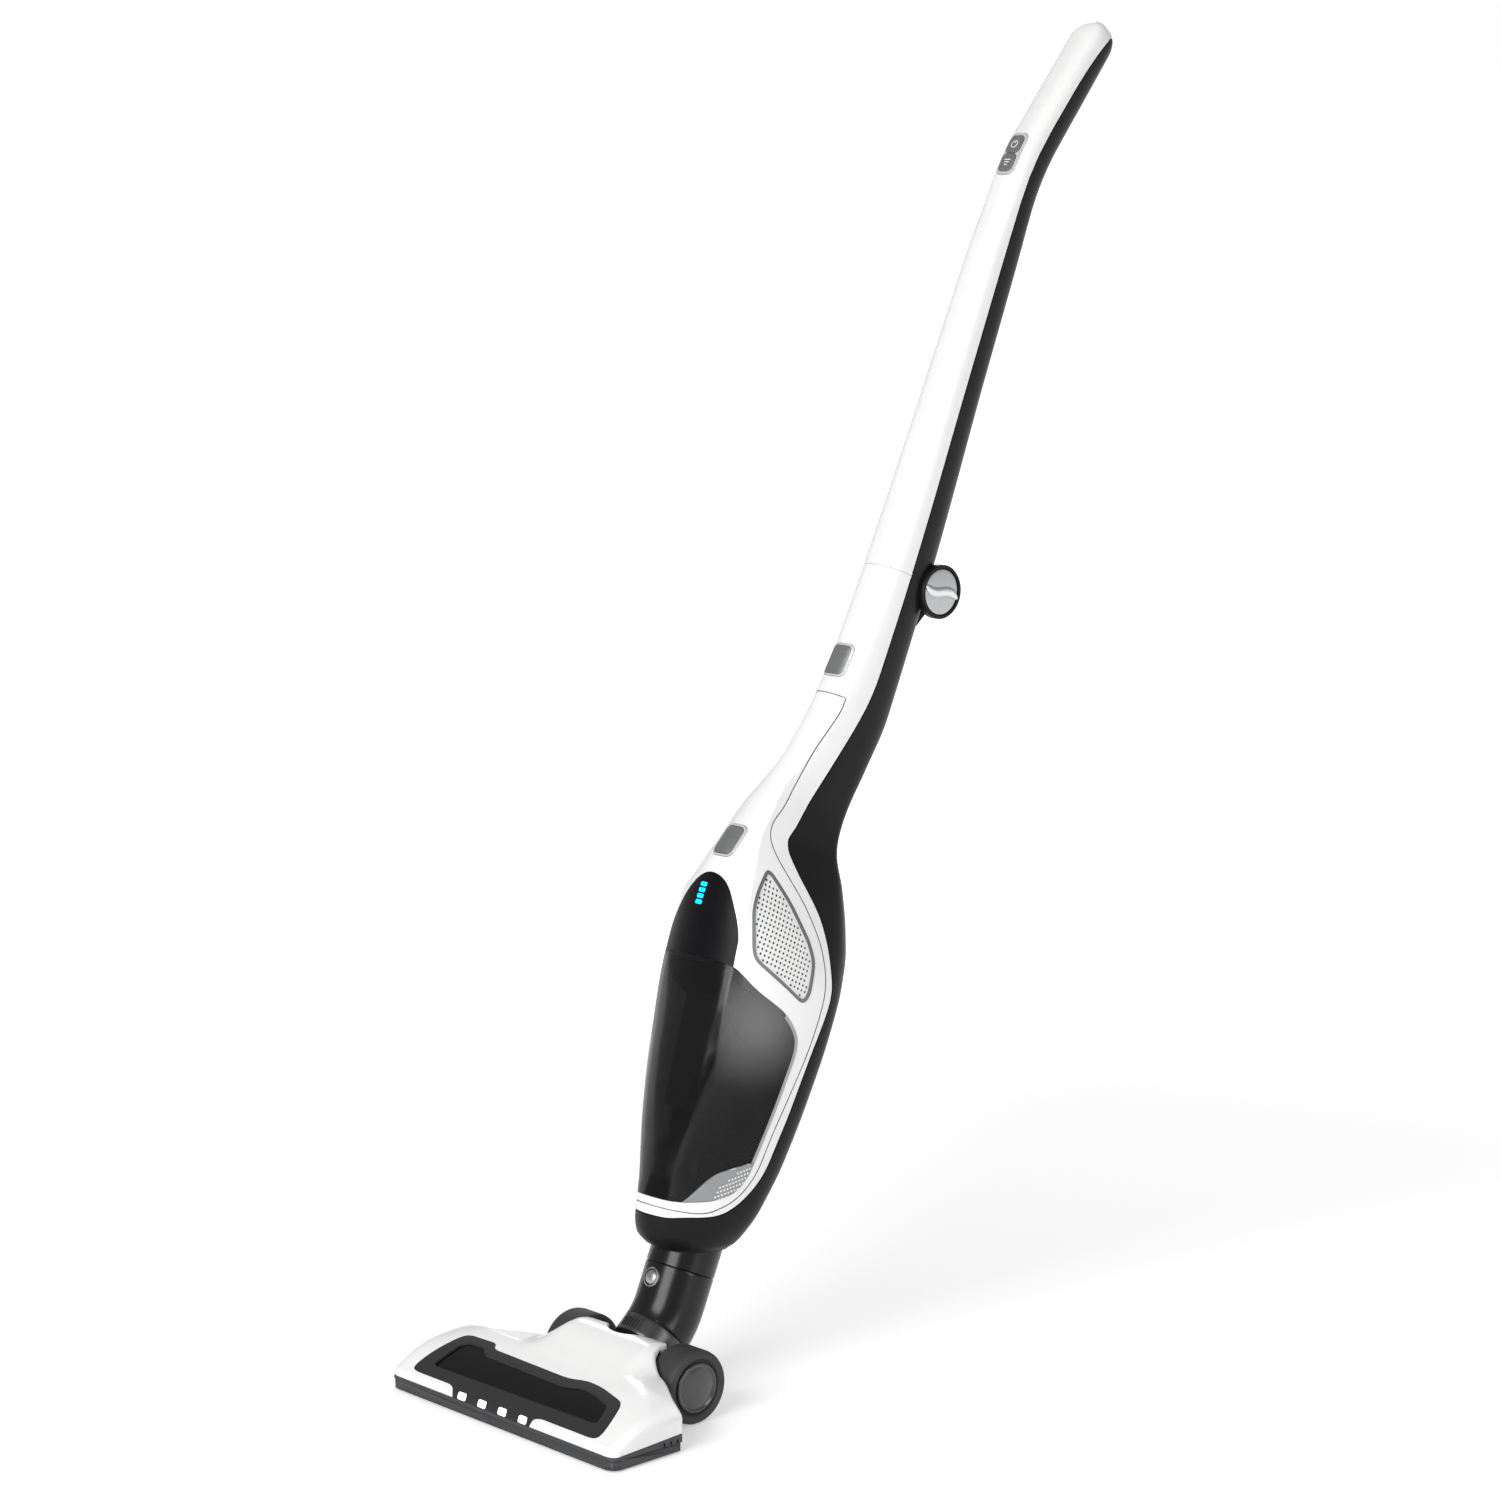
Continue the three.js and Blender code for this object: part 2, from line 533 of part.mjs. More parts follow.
// Motor, fan, battery and board inside the hand unit.
function buildUnitInside(group) {
  place(group, 'suction_motor', tube([0, motorAxisDepth, motorFloor + gap], [0, motorAxisDepth, motorTop],
    motorBody, shaftRadius + gap), 'steel');
  let fan = rod([0, motorAxisDepth, fanFloor], [0, motorAxisDepth, fanFloor + 2], 18.5)
    .add(rod([0, motorAxisDepth, fanFloor], [0, motorAxisDepth, motorTop - 4], shaftRadius))
    .add(rod([0, motorAxisDepth, fanFloor], [0, motorAxisDepth, fanFloor + fanDepth], 5));
  for (const angle of spread(0, 2 * Math.PI, 8).slice(1)) {
    const blade = boxBetween([4, -0.8, fanFloor], [18, 0.8, fanFloor + fanDepth])
      .rotate([0, 0, THREE.MathUtils.radToDeg(angle)]).translate([0, motorAxisDepth, 0]);
    fan = fan.add(blade);
  }
  place(group, 'suction_fan', fan, 'silver');
  place(group, 'battery_pack', boxBetween([-batteryHalf, -36, batteryFloor + gap], [batteryHalf, -6, batteryTop]), 'cell');
  place(group, 'control_board', boxBetween([-batteryHalf, -39, batteryFloor + gap], [batteryHalf, -37.4, batteryTop - 12]),
    'board');
}

// ---------------------------------------------------------------- dust cup
const inletHeight = up(60);
const inletRadius = 12;
const trimOutline = (grow) => drawn([[-6 + grow, 75 + grow], [-12, 73 + grow], [-22, 66.5 + grow],
  [-32 - grow / 2, 59.5 + grow], [-37 - grow, 52], [-40 - grow, 43], [-44 - grow, 32], [-52 - grow, 20],
  [20, 20], [20, 75 + grow]]);

function buildCup(group) {
  const outer = bodyForm(0).intersect(sideCut(cupOutline(0), -reach, reach));
  const innerOutline = drawn([[-reach, 230], [-20, 230], [-20, 176], [-8 - cupWall, 160], [-8 - cupWall, 62],
    [-14 - cupWall, 50], [-27 - cupWall, 40], [-50, 31], [-reach, 28]]);
  const inner = bodyForm(cupWall).intersect(sideCut(innerOutline, -reach, reach));
  const inlet = rod([0, -30, inletHeight], [0, 5, inletHeight], inletRadius);
  const trimPocket = bodyForm(-1).subtract(bodyForm(0.9 + gap)).intersect(sideCut(trimOutline(gap), -reach, reach));
  place(group, 'dust_cup', outer.subtract(inner).subtract(inlet).subtract(trimPocket), 'smoke');
  const trims = bodyForm(0).subtract(bodyForm(0.9)).intersect(sideCut(trimOutline(0), -reach, reach))
    .intersect(sideCut(cupOutline(-gap), -reach, reach));
  place(group, 'cup_trim_right', trims.intersect(boxBetween([20, -reach, 0], [reach, reach, 200])), 'silver');
  place(group, 'cup_trim_left', trims.intersect(boxBetween([-reach, -reach, 0], [-20, reach, 200])), 'silver');

  const frameOutline = drawn([[-77, 205], [-58, 194], [-28, 184.5], [-28, 181], [-58, 190.5], [-77, 201.5]]);
  const frame = bodyForm(cupWall + gap, true).intersect(sideCut(frameOutline, -reach, reach));
  const funnel = loft([ringBox(24, -62, -30, 186), ringBox(17, -58, -34, 96)]);
  const funnelHollow = loft([ringBox(22, -60, -32, 215), ringBox(15, -56, -36, 100)]);
  place(group, 'cup_filter', frame.add(funnel).subtract(funnelHollow), 'paper');
}

// A rectangular ring at a drawn height, from one depth to another.
function ringBox(half, front, back, height) {
  return [[half, front], [half, back], [-half, back], [-half, front]]
    .map(([x, depth]) => new THREE.Vector3(x * wide, depth * deep, up(height)));
}

// ------------------------------------------------------------------ neck
// The neck's axis as [depth, height], measured down from the bowl and round the elbow.
function elbowPoint(angle) {
  return [neckDepth - elbowRadius * (1 - Math.cos(angle)), -neckStraight - elbowRadius * Math.sin(angle)];
}

const elbowEnd = elbowPoint(elbowBend);
const collarDown = [-Math.sin(elbowBend), -Math.cos(elbowBend)];
const hingePoint = elbowEnd.map((value, i) => value + collarDown[i] * collarReach);

// A point on the collar's straight axis, at a distance above the tilt hinge.
const aboveHinge = (distance) => [0, hingePoint[0] - collarDown[0] * distance,
  hingePoint[1] - collarDown[1] * distance];

function elbowRings(radius, from, to, count) {
  return spread(from, to, 8).map((angle) => {
    const [depth, height] = elbowPoint(angle);
    return spread(0, 2 * Math.PI, count).slice(1).map((turn) => new THREE.Vector3(
      radius * Math.cos(turn),
      depth + radius * Math.sin(turn) * Math.cos(angle),
      height - radius * Math.sin(turn) * Math.sin(angle)));
  });
}

const neckButtonHeight = -29;
const neckButtonRadius = 6;
const neckButton = (radius, from, to) => rod([0, from, neckButtonHeight], [0, to, neckButtonHeight], radius);

function buildNeck(group) {
  const slip = gap / elbowRadius;
  const outside = loft(elbowRings(neckRadius, slip, elbowBend - slip, 28));
  const bore = spigotRadius - spigotWall;
  const inside = loft(elbowRings(bore, 0, elbowBend, 28));
  const straight = rod([0, neckDepth, -neckStraight - gap], [0, neckDepth, -neckSeam - gap], neckRadius, neckRadius, 28)
    .add(rod([0, neckDepth, -neckSeam - 2], [0, neckDepth, spigotTop], spigotRadius, spigotRadius, 28))
    .subtract(rod([0, neckDepth, -neckStraight - 1], [0, neckDepth, spigotTop + 1], bore, bore, 28));
  const bottom = tube(aboveHinge(collarReach + 3), aboveHinge(collarReach - collarLength + 3), spigotRadius, bore, 28);
  const buttonHole = neckButton(neckButtonRadius + gap, -40, -10);
  place(group, 'elbow_tube', outside.subtract(inside).add(straight).add(bottom).subtract(buttonHole), 'blackGloss');
  const buttonFace = neckDepth - neckRadius - 2;
  place(group, 'neck_release_button', neckButton(neckButtonRadius, buttonFace, buttonFace + 7), 'silver');
}

// The collar and the barrel that tilts between the wheels.
function buildKnuckle(group) {
  place(group, 'swivel_collar', tube(aboveHinge(collarReach), aboveHinge(collarReach - collarLength),
    neckRadius, spigotRadius + gap, 28)
    .add(boxBetween([-4, -1.6, -2.5], [4, 1.6, 2.5]).rotate([THREE.MathUtils.radToDeg(-elbowBend), 0, 0])
      .translate(collarTab())), 'blackGloss');
  const [, depth, height] = aboveHinge(0);
  const barrel = rod([-knuckleHalf, depth, height], [knuckleHalf, depth, height], knuckleRadius, knuckleRadius, 28)
    .add(rod([-trunnionEnd, depth, height], [trunnionEnd, depth, height], trunnionRadius))
    .add(rod(aboveHinge(4), aboveHinge(collarReach - collarLength - gap), spigotRadius, spigotRadius, 28));
  let airway = rod(aboveHinge(-4), aboveHinge(collarReach), 11);
  for (const turn of [-0.4, 0, 0.4, 0.8]) {
    const angle = stickLean + turn;
    airway = airway.add(rod([0, depth, height],
      [0, depth - 30 * Math.cos(angle), height - 30 * Math.sin(angle)], 9));
  }
  place(group, 'tilt_barrel', barrel.subtract(airway), 'darkBase');
}

const trunnionRadius = 6;
const trunnionEnd = 30;
function collarTab() {
  const [x, depth, height] = aboveHinge(collarReach - 7);
  return [x, depth - (neckRadius + 0.8) * Math.cos(elbowBend), height + (neckRadius + 0.8) * Math.sin(elbowBend)];
}

// ---------------------------------------------------------- folding handle
// The split between front and back shells, which follows the bent grip and runs out through
// the back below its end.
const splitDepth = keyed([[gripEnd - 105, seamDepth], [gripEnd - 60, 1], [gripEnd - 30, 7], [gripEnd - 8, 22]]);

function handleSplit(shift) {
  const grip = spread(gripEnd - 105, gripEnd - 8, 7);
  const heights = [jointHeight - 46, ...handleHeights.slice(1, -4), ...grip];
  return heights.map((height) => {
    const { depth, up, lean } = stickAxis(height);
    const across = splitDepth(height) + shift;
    return [depth + across * Math.cos(lean), up - across * Math.sin(lean)];
  });
}

const switchMiddle = handleStraight + 36;
const switchSize = [18, 37];
const buttonSize = [14, 15.5];
const switchOutline = (grow) => roundedOutline(0, switchMiddle, switchSize[0] + 2 * grow,
  switchSize[1] + 2 * grow, 6);
const buttonOutline = (side, grow) => roundedOutline(0, switchMiddle + side * 8, buttonSize[0] + 2 * grow,
  buttonSize[1] + 2 * grow, 4);
const gripFront = [-40, 0];

function buildHandle(group) {
  const skin = handleForm(0).subtract(handleForm(bodyWall));
  const low = jointHeight - 46;
  const frontHalf = sideCut([...handleSplit(-gap / 2), [reach, gripEnd + 30], [-reach, gripEnd + 30],
    [-reach, low]], -reach, reach);
  const backHalf = sideCut([...handleSplit(gap / 2), [reach, gripEnd + 30], [reach, low]], -reach, reach);
  const pocket = knobSolid(gap);
  const plateSkin = handleForm(-0.5).subtract(handleForm(1.2));
  place(group, 'handle_front_shell', skin.intersect(frontHalf)
    .subtract(frontCut(switchOutline(gap), ...gripFront)).subtract(pocket), 'whiteGloss');
  const plate = plateSkin.intersect(frontCut(switchOutline(0), ...gripFront))
    .subtract(frontCut(buttonOutline(1, gap), ...gripFront))
    .subtract(frontCut(buttonOutline(-1, gap), ...gripFront));
  place(group, 'switch_plate', plate, 'silver');
  const caps = handleForm(-1.1).subtract(handleForm(2));
  place(group, 'power_button', caps.intersect(frontCut(buttonOutline(1, 0), ...gripFront)), 'silver');
  place(group, 'mode_button', caps.intersect(frontCut(buttonOutline(-1, 0), ...gripFront)), 'silver');

  let lugs = null;
  for (const side of [-1, 1]) {
    const near = side * (lugHalf + gap);
    const far = side * lugOuter;
    const [from, to] = [Math.min(near, far), Math.max(near, far)];
    const lug = rod([from, foldDepth, foldHeight], [to, foldDepth, foldHeight], lugRadius)
      .add(sideCut([[26, foldHeight], [foldDepth + lugRadius, foldHeight],
        [27, foldHeight + lugWebTop], [20, foldHeight + lugWebTop]], from, to));
    lugs = lugs ? lugs.add(lug) : lug;
  }
  lugs = lugs.subtract(handleForm(bodyWall)).subtract(bodyForm(-gap));
  const centreSweep = rod([-lugHalf - gap, foldDepth, foldHeight], [lugHalf + gap, foldDepth, foldHeight],
    lugRadius + 1);
  const boltHole = rod([-40, foldDepth, foldHeight], [40, foldDepth, foldHeight], boltRadius + gap);
  place(group, 'handle_back_shell', skin.intersect(backHalf).add(lugs).subtract(centreSweep)
    .subtract(boltHole).subtract(pocket), 'blackSatin');
}

// The clamp knob with its bolt, or the space it turns in.
function knobSolid(grow) {
  return rod([knobFace - knobThick - grow, foldDepth, foldHeight], [knobFace + grow, foldDepth, foldHeight],
    knobRadius + grow, knobRadius + grow, 36);
}

function buildFoldClamp(group) {
  const boltSocket = rod([knobFace - knobThick - 1, foldDepth, foldHeight],
    [knobFace - 3, foldDepth, foldHeight], boltRadius + gap);
  place(group, 'clamp_knob', knobSolid(0).subtract(boltSocket), 'silver');
  const head = -lugOuter - gap;
  place(group, 'fold_bolt', rod([head, foldDepth, foldHeight], [knobFace - 3 - gap, foldDepth, foldHeight], boltRadius)
    .add(rod([head - 3, foldDepth, foldHeight], [head, foldDepth, foldHeight], 8)), 'steel');
}

// ------------------------------------------------------------- floor head
// Rear edge of the white top, by distance from the stick's plane: full depth between the
// wheels, then a fender in front of each wheel.
const rearEdge = keyed([[0, humpDepth], [40, humpDepth], [50, 94], [76, 81], [110, headDepth], [150, headDepth]]);
const hump = (x) => 1 - smooth(Math.abs(x - stickOffset), 42, 68);

// Height of the white top at a point behind the front edge.
function headTop(x, y) {
  if (y <= lipDepth) return baseTop + (lipHeight - baseTop) * Math.sin(y / lipDepth * Math.PI / 2);
  const slope = Math.min((y - lipDepth) / (headDepth - 4 - lipDepth), 1);
  const rise = (smooth(y, headDepth - 16, humpDepth - 14) * (humpHeight - ridgeHeight)
    - smooth(y, humpDepth - 10, humpDepth) * 3) * hump(x);
  return lipHeight + (ridgeHeight - lipHeight) * (1 - (1 - slope) ** 1.5) + rise;
}

function headSection(x, inset) {
  const fromEnd = headWidth / 2 - Math.abs(x);
  const edge = Math.max(0, 1 - fromEnd / endRadius);
  const drop = endRadius * (1 - Math.sqrt(Math.max(0, 1 - edge * edge)));
  const side = drop * 0.6;
  const fall = (y) => rearFall * Math.max(0, 1 - fromEnd / rearReach) ** 2 * smooth(y, 12, headDepth - 4);
  const top = (y) => baseTop + (headTop(x, y) - baseTop) * (1 - drop / 50) * (1 - fall(y)) - inset;
  const rear = rearEdge(Math.abs(x - stickOffset)) - inset;
  const front = inset + side;
  const points = [[front, inset ? 0 : baseTop]];
  for (const t of [...spread(0.1, 1, 3), ...spread(1, 16, 7).slice(1)]) {
    const y = front + (t <= 1 ? t * lipDepth : lipDepth + (t - 1) / 15 * (headDepth - 6 - lipDepth - front));
    points.push([y, top(Math.min(y - inset * 0.7 - side, headDepth))]);
  }
  const last = points[points.length - 1][0];
  for (const y of spread(last, rear - 2, 5).slice(1)) points.push([y, top(y)]);
  points.push([rear, points[points.length - 1][1] - 3], [rear, inset ? 0 : baseTop]);
  return points.map(([y, z]) => new THREE.Vector3(x, y, z));
}

function headForm(inset) {
  const half = headWidth / 2 - inset;
  const rounding = [1, 0.987, 0.96, 0.92];
  const stations = [...rounding.map((share) => -share * half), ...spread(-108, 108, 22).map((x) => x * across),
    ...rounding.map((share) => share * half).reverse()];
  return loft(stations.map((x) => headSection(x, inset)));
}

// The brush window in plan, drawn for the head's nominal width and depth.
const across = headWidth / 258;
const fore = headDepth / 66;
const windowOutline = (grow) => [[-110 - grow, 8], [-106 - grow, 24], [-98, 44 + grow], [-93, 48 + grow],
  [-61, 49 + grow], [-58 + grow, 43 + grow], [31, 41.5 + grow], [49, 45.5 + grow], [65, 44.5 + grow],
  [96 + grow, 38 + grow], [103 + grow, 22], [106 + grow, 9], [102, 5.4 - grow], [39 + grow, 5.4 - grow],
  [31 + grow, -4], [-50 - grow, -4], [-58 - grow, 5.4 - grow], [-105, 5.4 - grow]]
  .map(([x, y]) => [x * across, y * fore]);
const lampCount = 4;
const lampPitch = 23.5 * across;
const lampMiddle = -9 * across;
const lampHeight = 14;
const lampSize = [9.2, 5];

function lamps(grow) {
  return spread(0, lampCount - 1, lampCount - 1).map((i) => {
    const x = lampMiddle + (i - (lampCount - 1) / 2) * lampPitch;
    return boxBetween([x - lampSize[0] / 2 - grow, -1, lampHeight - lampSize[1] / 2 - grow],
      [x + lampSize[0] / 2 + grow, 5 + grow, lampHeight + lampSize[1] / 2 + grow]);
  });
}

const wheelSpace = (side, grow) => rod([stickOffset + side * (wheelInner - grow), hingeDepth, wheelRadius],
  [stickOffset + side * (wheelInner + wheelWidth + 6), hingeDepth, wheelRadius], wheelRadius + grow, wheelRadius + grow, 40);
const bracketInner = 22;
const bracketOuter = wheelInner - 1.2;
const bracket = (side, grow) => {
  const ends = [stickOffset + side * (bracketInner - grow), stickOffset + side * (bracketOuter + grow)].sort((a, b) => a - b);
  return boxBetween([ends[0], hingeDepth - 12 - grow, baseTop - 4], [ends[1], hingeDepth + 9 + grow,
    wheelRadius + 11 + grow]);
};

function buildHeadShell(group) {
  const skin = headForm(0).subtract(headForm(headWall));
  const opening = planCut(windowOutline(gap), 0, reach);
  let shell = skin.subtract(opening);
  for (const side of [-1, 1]) shell = shell.subtract(wheelSpace(side, 1.5)).subtract(bracket(side, gap));
  const [reachOut, stub] = [60, knuckleRadius + 2.2];
  shell = shell.subtract(rod([stickOffset - bracketInner, hingeDepth, wheelRadius],
    [stickOffset + bracketInner, hingeDepth, wheelRadius], stub));
  for (const lean of spread(elbowBend - 0.02, Math.PI / 2, 7)) {
    shell = shell.subtract(rod([stickOffset, hingeDepth, wheelRadius], [stickOffset,
      hingeDepth + reachOut * Math.sin(lean), wheelRadius + reachOut * Math.cos(lean)], neckRadius + 1.6));
  }
  shell = shell.subtract(boxBetween([stickOffset - wheelInner - 1, humpDepth - 12, 0],
    [stickOffset + wheelInner + 1, humpDepth + 5, humpHeight - 8]));
  place(group, 'head_top_shell', shell, 'whiteGloss');
  let pane = skin.intersect(planCut(windowOutline(0), 0, reach));
  for (const lamp of lamps(gap)) pane = pane.subtract(lamp);
  place(group, 'brush_window', pane, 'smoke');
  const lampFace = headForm(0.1);
  lamps(0).forEach((lamp, i) => place(group, `lamp_lens_${i + 1}`, lamp.intersect(lampFace), 'lens'));
  const boardHalf = lampPitch * lampCount / 2;
  place(group, 'lamp_board', boxBetween([lampMiddle - boardHalf, 5 + gap, baseTop + 0.4],
    [lampMiddle + boardHalf, 6.9, baseTop + 4.5]), 'board');
}

// Plan outline of the brush box, with round front corners.
function basePlan(inset) {
  const half = headWidth / 2 - inset;
  const corner = 9;
  const arc = (cx, cy, from) => spread(from, from + Math.PI / 2, 4)
    .map((angle) => [cx + corner * Math.cos(angle), cy + corner * Math.sin(angle)]);
  return [...arc(half - corner, corner + inset, -Math.PI / 2), [half - 2, headDepth - inset],
    [-half + 2, headDepth - inset], ...arc(-half + corner, corner + inset, -Math.PI)];
}

const mouth = [brushDepth - 18, brushDepth + 13];   // front and back edges of the suction mouth
const rollerRadius = 3.6;
const rollerAt = [headDepth - 12, rollerRadius];    // depth and height of the small front rollers
const rollerHalf = 6;
const rollerX = [-69 * across, 87 * across];

function buildHeadBase(group) {
  const tail = boxBetween([stickOffset - bracketOuter, headDepth - 10, baseClear],
    [stickOffset + bracketOuter, hingeDepth + 10, baseTop - gap]);
  const ductHalf = 13;
  let base = planCut(basePlan(0), baseClear, baseTop - gap).add(tail)
    .subtract(boxBetween([-brushMouthHalf, mouth[0], 0], [brushMouthHalf, mouth[1], baseTop + 1]))
    .add(boxBetween([-brushMouthHalf - 3, mouth[1], baseClear], [brushMouthHalf + 3, mouth[1] + 2, 31])
      .subtract(boxBetween([stickOffset - ductHalf, mouth[1] - 1, 11], [stickOffset + ductHalf, mouth[1] + 3, 27])));
  for (const side of [-1, 1]) {
    const ends = [side * brushMouthHalf, side * (brushMouthHalf + 3)].sort((a, b) => a - b);
    base = base.add(boxBetween([ends[0], brushDepth - 8, baseClear], [ends[1], mouth[1] + 2, brushHeight + 7]));
    base = base.add(bracket(side, 0));
  }
  base = base.subtract(rod([-reach, brushDepth, brushHeight], [reach, brushDepth, brushHeight], bearingRadius + gap));
  base = base.subtract(rod([stickOffset - trunnionEnd - gap, hingeDepth, wheelRadius],
    [stickOffset + trunnionEnd + gap, hingeDepth, wheelRadius], trunnionRadius + gap));
  base = base.subtract(rod([-reach, hingeDepth, wheelRadius], [reach, hingeDepth, wheelRadius], axleRadius + gap));
  base = base.subtract(rod([stickOffset - bracketInner, hingeDepth, wheelRadius],
    [stickOffset + bracketInner, hingeDepth, wheelRadius], spigotRadius + 1.6));
  base = base.add(boxBetween([motorEnd + 2, motorDepth - 7, baseTop - 2],
    [motorEnd + motorLength - 4, motorDepth + 7, motorHeight - motorRadius - gap])
    .subtract(rod([-reach, motorDepth, motorHeight], [0, motorDepth, motorHeight], motorRadius + gap)));
  for (const x of rollerX) {
    base = base.subtract(boxBetween([x - rollerHalf - gap, rollerAt[0] - rollerRadius - 1, 0],
      [x + rollerHalf + gap, rollerAt[0] + rollerRadius + 1, rollerAt[1] + rollerRadius + 0.6]));
    base = base.add(rod([x - rollerHalf - 1, ...rollerAt], [x + rollerHalf + 1, ...rollerAt], 1, 1, 12));
  }
  base = base.subtract(boxBetween([beltX - beltWidth / 2 - 1, brushDepth - 9, baseClear + 1],
    [beltX + beltWidth / 2 + 1, motorDepth + 7, baseTop + 30]));
  place(group, 'head_base', base, 'darkBase');
  rollerX.forEach((x, i) => place(group, `front_roller_${i ? 'right' : 'left'}`,
    tube([x - rollerHalf, ...rollerAt], [x + rollerHalf, ...rollerAt], rollerRadius, 1 + gap, 20), 'rubber'));
  const duct = boxBetween([stickOffset - 15, mouth[1] + 2 + gap, baseTop + 0.2],
    [stickOffset + 15, hingeDepth - knuckleRadius - 2, 30])
    .subtract(boxBetween([stickOffset - 13, mouth[1], 11], [stickOffset + 13, hingeDepth, 27.5]));
  place(group, 'head_duct', duct, 'blackSatin');
}

const bearingRadius = 5.5;
const beltX = 8.5 - headWidth / 2;
const motorEnd = beltX + 16;

function buildBrush(group) {
  const turns = spread(0, 1, 16);
  const rings = turns.map((t) => spread(0, 2 * Math.PI, 24).slice(1).map((angle) => {
    const tuft = Math.max(0, Math.cos(2 * (angle - t * Math.PI)) - 0.55) / 0.45;
    const radius = brushCore + (brushTip - brushCore) * Math.min(1, tuft * 1.6);
    return new THREE.Vector3(lerp(-brushHalf, brushHalf, t), brushDepth + radius * Math.cos(angle),
      brushHeight + radius * Math.sin(angle));
  }));
  const shaft = rod([beltX - beltWidth / 2, brushDepth, brushHeight], [brushMouthHalf + 3, brushDepth, brushHeight],
    shaftRadius, shaftRadius, 16);
  const pulley = rod([beltX - beltWidth / 2, brushDepth, brushHeight], [beltX + beltWidth / 2, brushDepth, brushHeight],
    brushPulley);
  place(group, 'brush_roll', loft(rings).add(shaft).add(pulley), 'bristle');
  [[-1, 'left'], [1, 'right']].forEach(([side, name]) => {
    const ends = [side * brushMouthHalf, side * (brushMouthHalf + 3)];
    place(group, `brush_bearing_${name}`, tube([ends[0], brushDepth, brushHeight], [ends[1], brushDepth, brushHeight],
      bearingRadius, shaftRadius + gap, 20), 'steel');
  });
  place(group, 'brush_motor', tube([motorEnd, motorDepth, motorHeight], [motorEnd + motorLength, motorDepth, motorHeight],
    motorRadius, 1.5 + gap), 'steel');
  place(group, 'motor_pulley', rod([beltX - beltWidth / 2, motorDepth, motorHeight],
    [beltX + beltWidth / 2, motorDepth, motorHeight], motorPulley)
    .add(rod([beltX, motorDepth, motorHeight], [motorEnd + 40, motorDepth, motorHeight], 1.5, 1.5, 12)), 'steel');
  place(group, 'drive_belt', beltLoop(gap + beltThick).subtract(beltLoop(gap, 2)), 'belt');
}

// The belt's outline round both pulleys, grown by a thickness.
function beltLoop(grow, wider = 0) {
  const pulleys = [[brushDepth, brushHeight, brushPulley + grow], [motorDepth, motorHeight, motorPulley + grow]];
  const run = Math.atan2(motorHeight - brushHeight, motorDepth - brushDepth);
  const span = Math.hypot(motorHeight - brushHeight, motorDepth - brushDepth);
  const flare = Math.acos((brushPulley - motorPulley) / span);
  const outline = [
    ...spread(run + flare, run + 2 * Math.PI - flare, 14).map((angle) => [pulleys[0], angle]),
    ...spread(run - flare, run + flare, 12).map((angle) => [pulleys[1], angle]),
  ].map(([[depth, height, radius], angle]) => [depth + radius * Math.cos(angle), height + radius * Math.sin(angle)]);
  return sideCut(outline, beltX - beltWidth / 2 - wider, beltX + beltWidth / 2 + wider);
}

function buildWheels(group) {
  [[-1, 'left'], [1, 'right']].forEach(([side, name]) => {
    const at = (offset) => [stickOffset + side * offset, hingeDepth, wheelRadius];
    const outerFace = wheelInner + wheelWidth;
    const tread = rod(at(wheelInner + 1.5), at(outerFace - 3), wheelRadius, wheelRadius, 40)
      .add(rod(at(wheelInner), at(wheelInner + 1.5), wheelRadius - 1.5, wheelRadius, 40))
      .add(rod(at(outerFace - 3), at(outerFace), wheelRadius, wheelRadius - 2.5, 40));
    place(group, `wheel_${name}`, tread.subtract(rod(at(wheelInner - 1), at(outerFace + 1), wheelBore))
      .subtract(rod(at(outerFace - capRecess), at(outerFace + 1), capRadius + gap, capRadius + gap, 32)), 'rubber');
    place(group, `wheel_cap_${name}`, rod(at(outerFace - capRecess + gap), at(outerFace - 0.4), capRadius,
      capRadius - 0.6, 32), 'blackGloss');
    place(group, `wheel_axle_${name}`, rod(at(trunnionEnd + 2), at(outerFace - capRecess - gap), axleRadius), 'steel');
  });
}

// --------------------------------------------------------------- assembly
const head = new THREE.Group();
buildHeadShell(head);
buildHeadBase(head);
buildBrush(head);
buildWheels(head);

// The stick's frame: its origin is on its own axis at the bottom of the bowl.
const stick = new THREE.Group();
buildBody(stick);
buildHandUnit(stick);
buildUnitInside(stick);
buildCup(stick);
buildNeck(stick);
buildKnuckle(stick);
buildHandle(stick);
buildFoldClamp(stick);
stick.rotation.x = -stickLean;
const hingeInStick = new THREE.Vector3(0, ...hingePoint).applyEuler(stick.rotation);
stick.position.set(stickOffset, hingeDepth, wheelRadius).sub(hingeInStick);

const vacuum = new THREE.Group();
vacuum.add(head, stick);
vacuum.updateMatrixWorld(true);
const bounds = new THREE.Box3().setFromObject(vacuum, true);
vacuum.position.set(-(bounds.min.x + bounds.max.x) / 2, -(bounds.min.y + bounds.max.y) / 2, -bounds.min.z);
vacuum.updateMatrixWorld(true);

export default vacuum;
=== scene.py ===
"""Cordless stick vacuum: fine shells, trims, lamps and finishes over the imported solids."""
import json
import math

import bmesh
import bpy
import numpy as np
from mathutils import Matrix, Vector

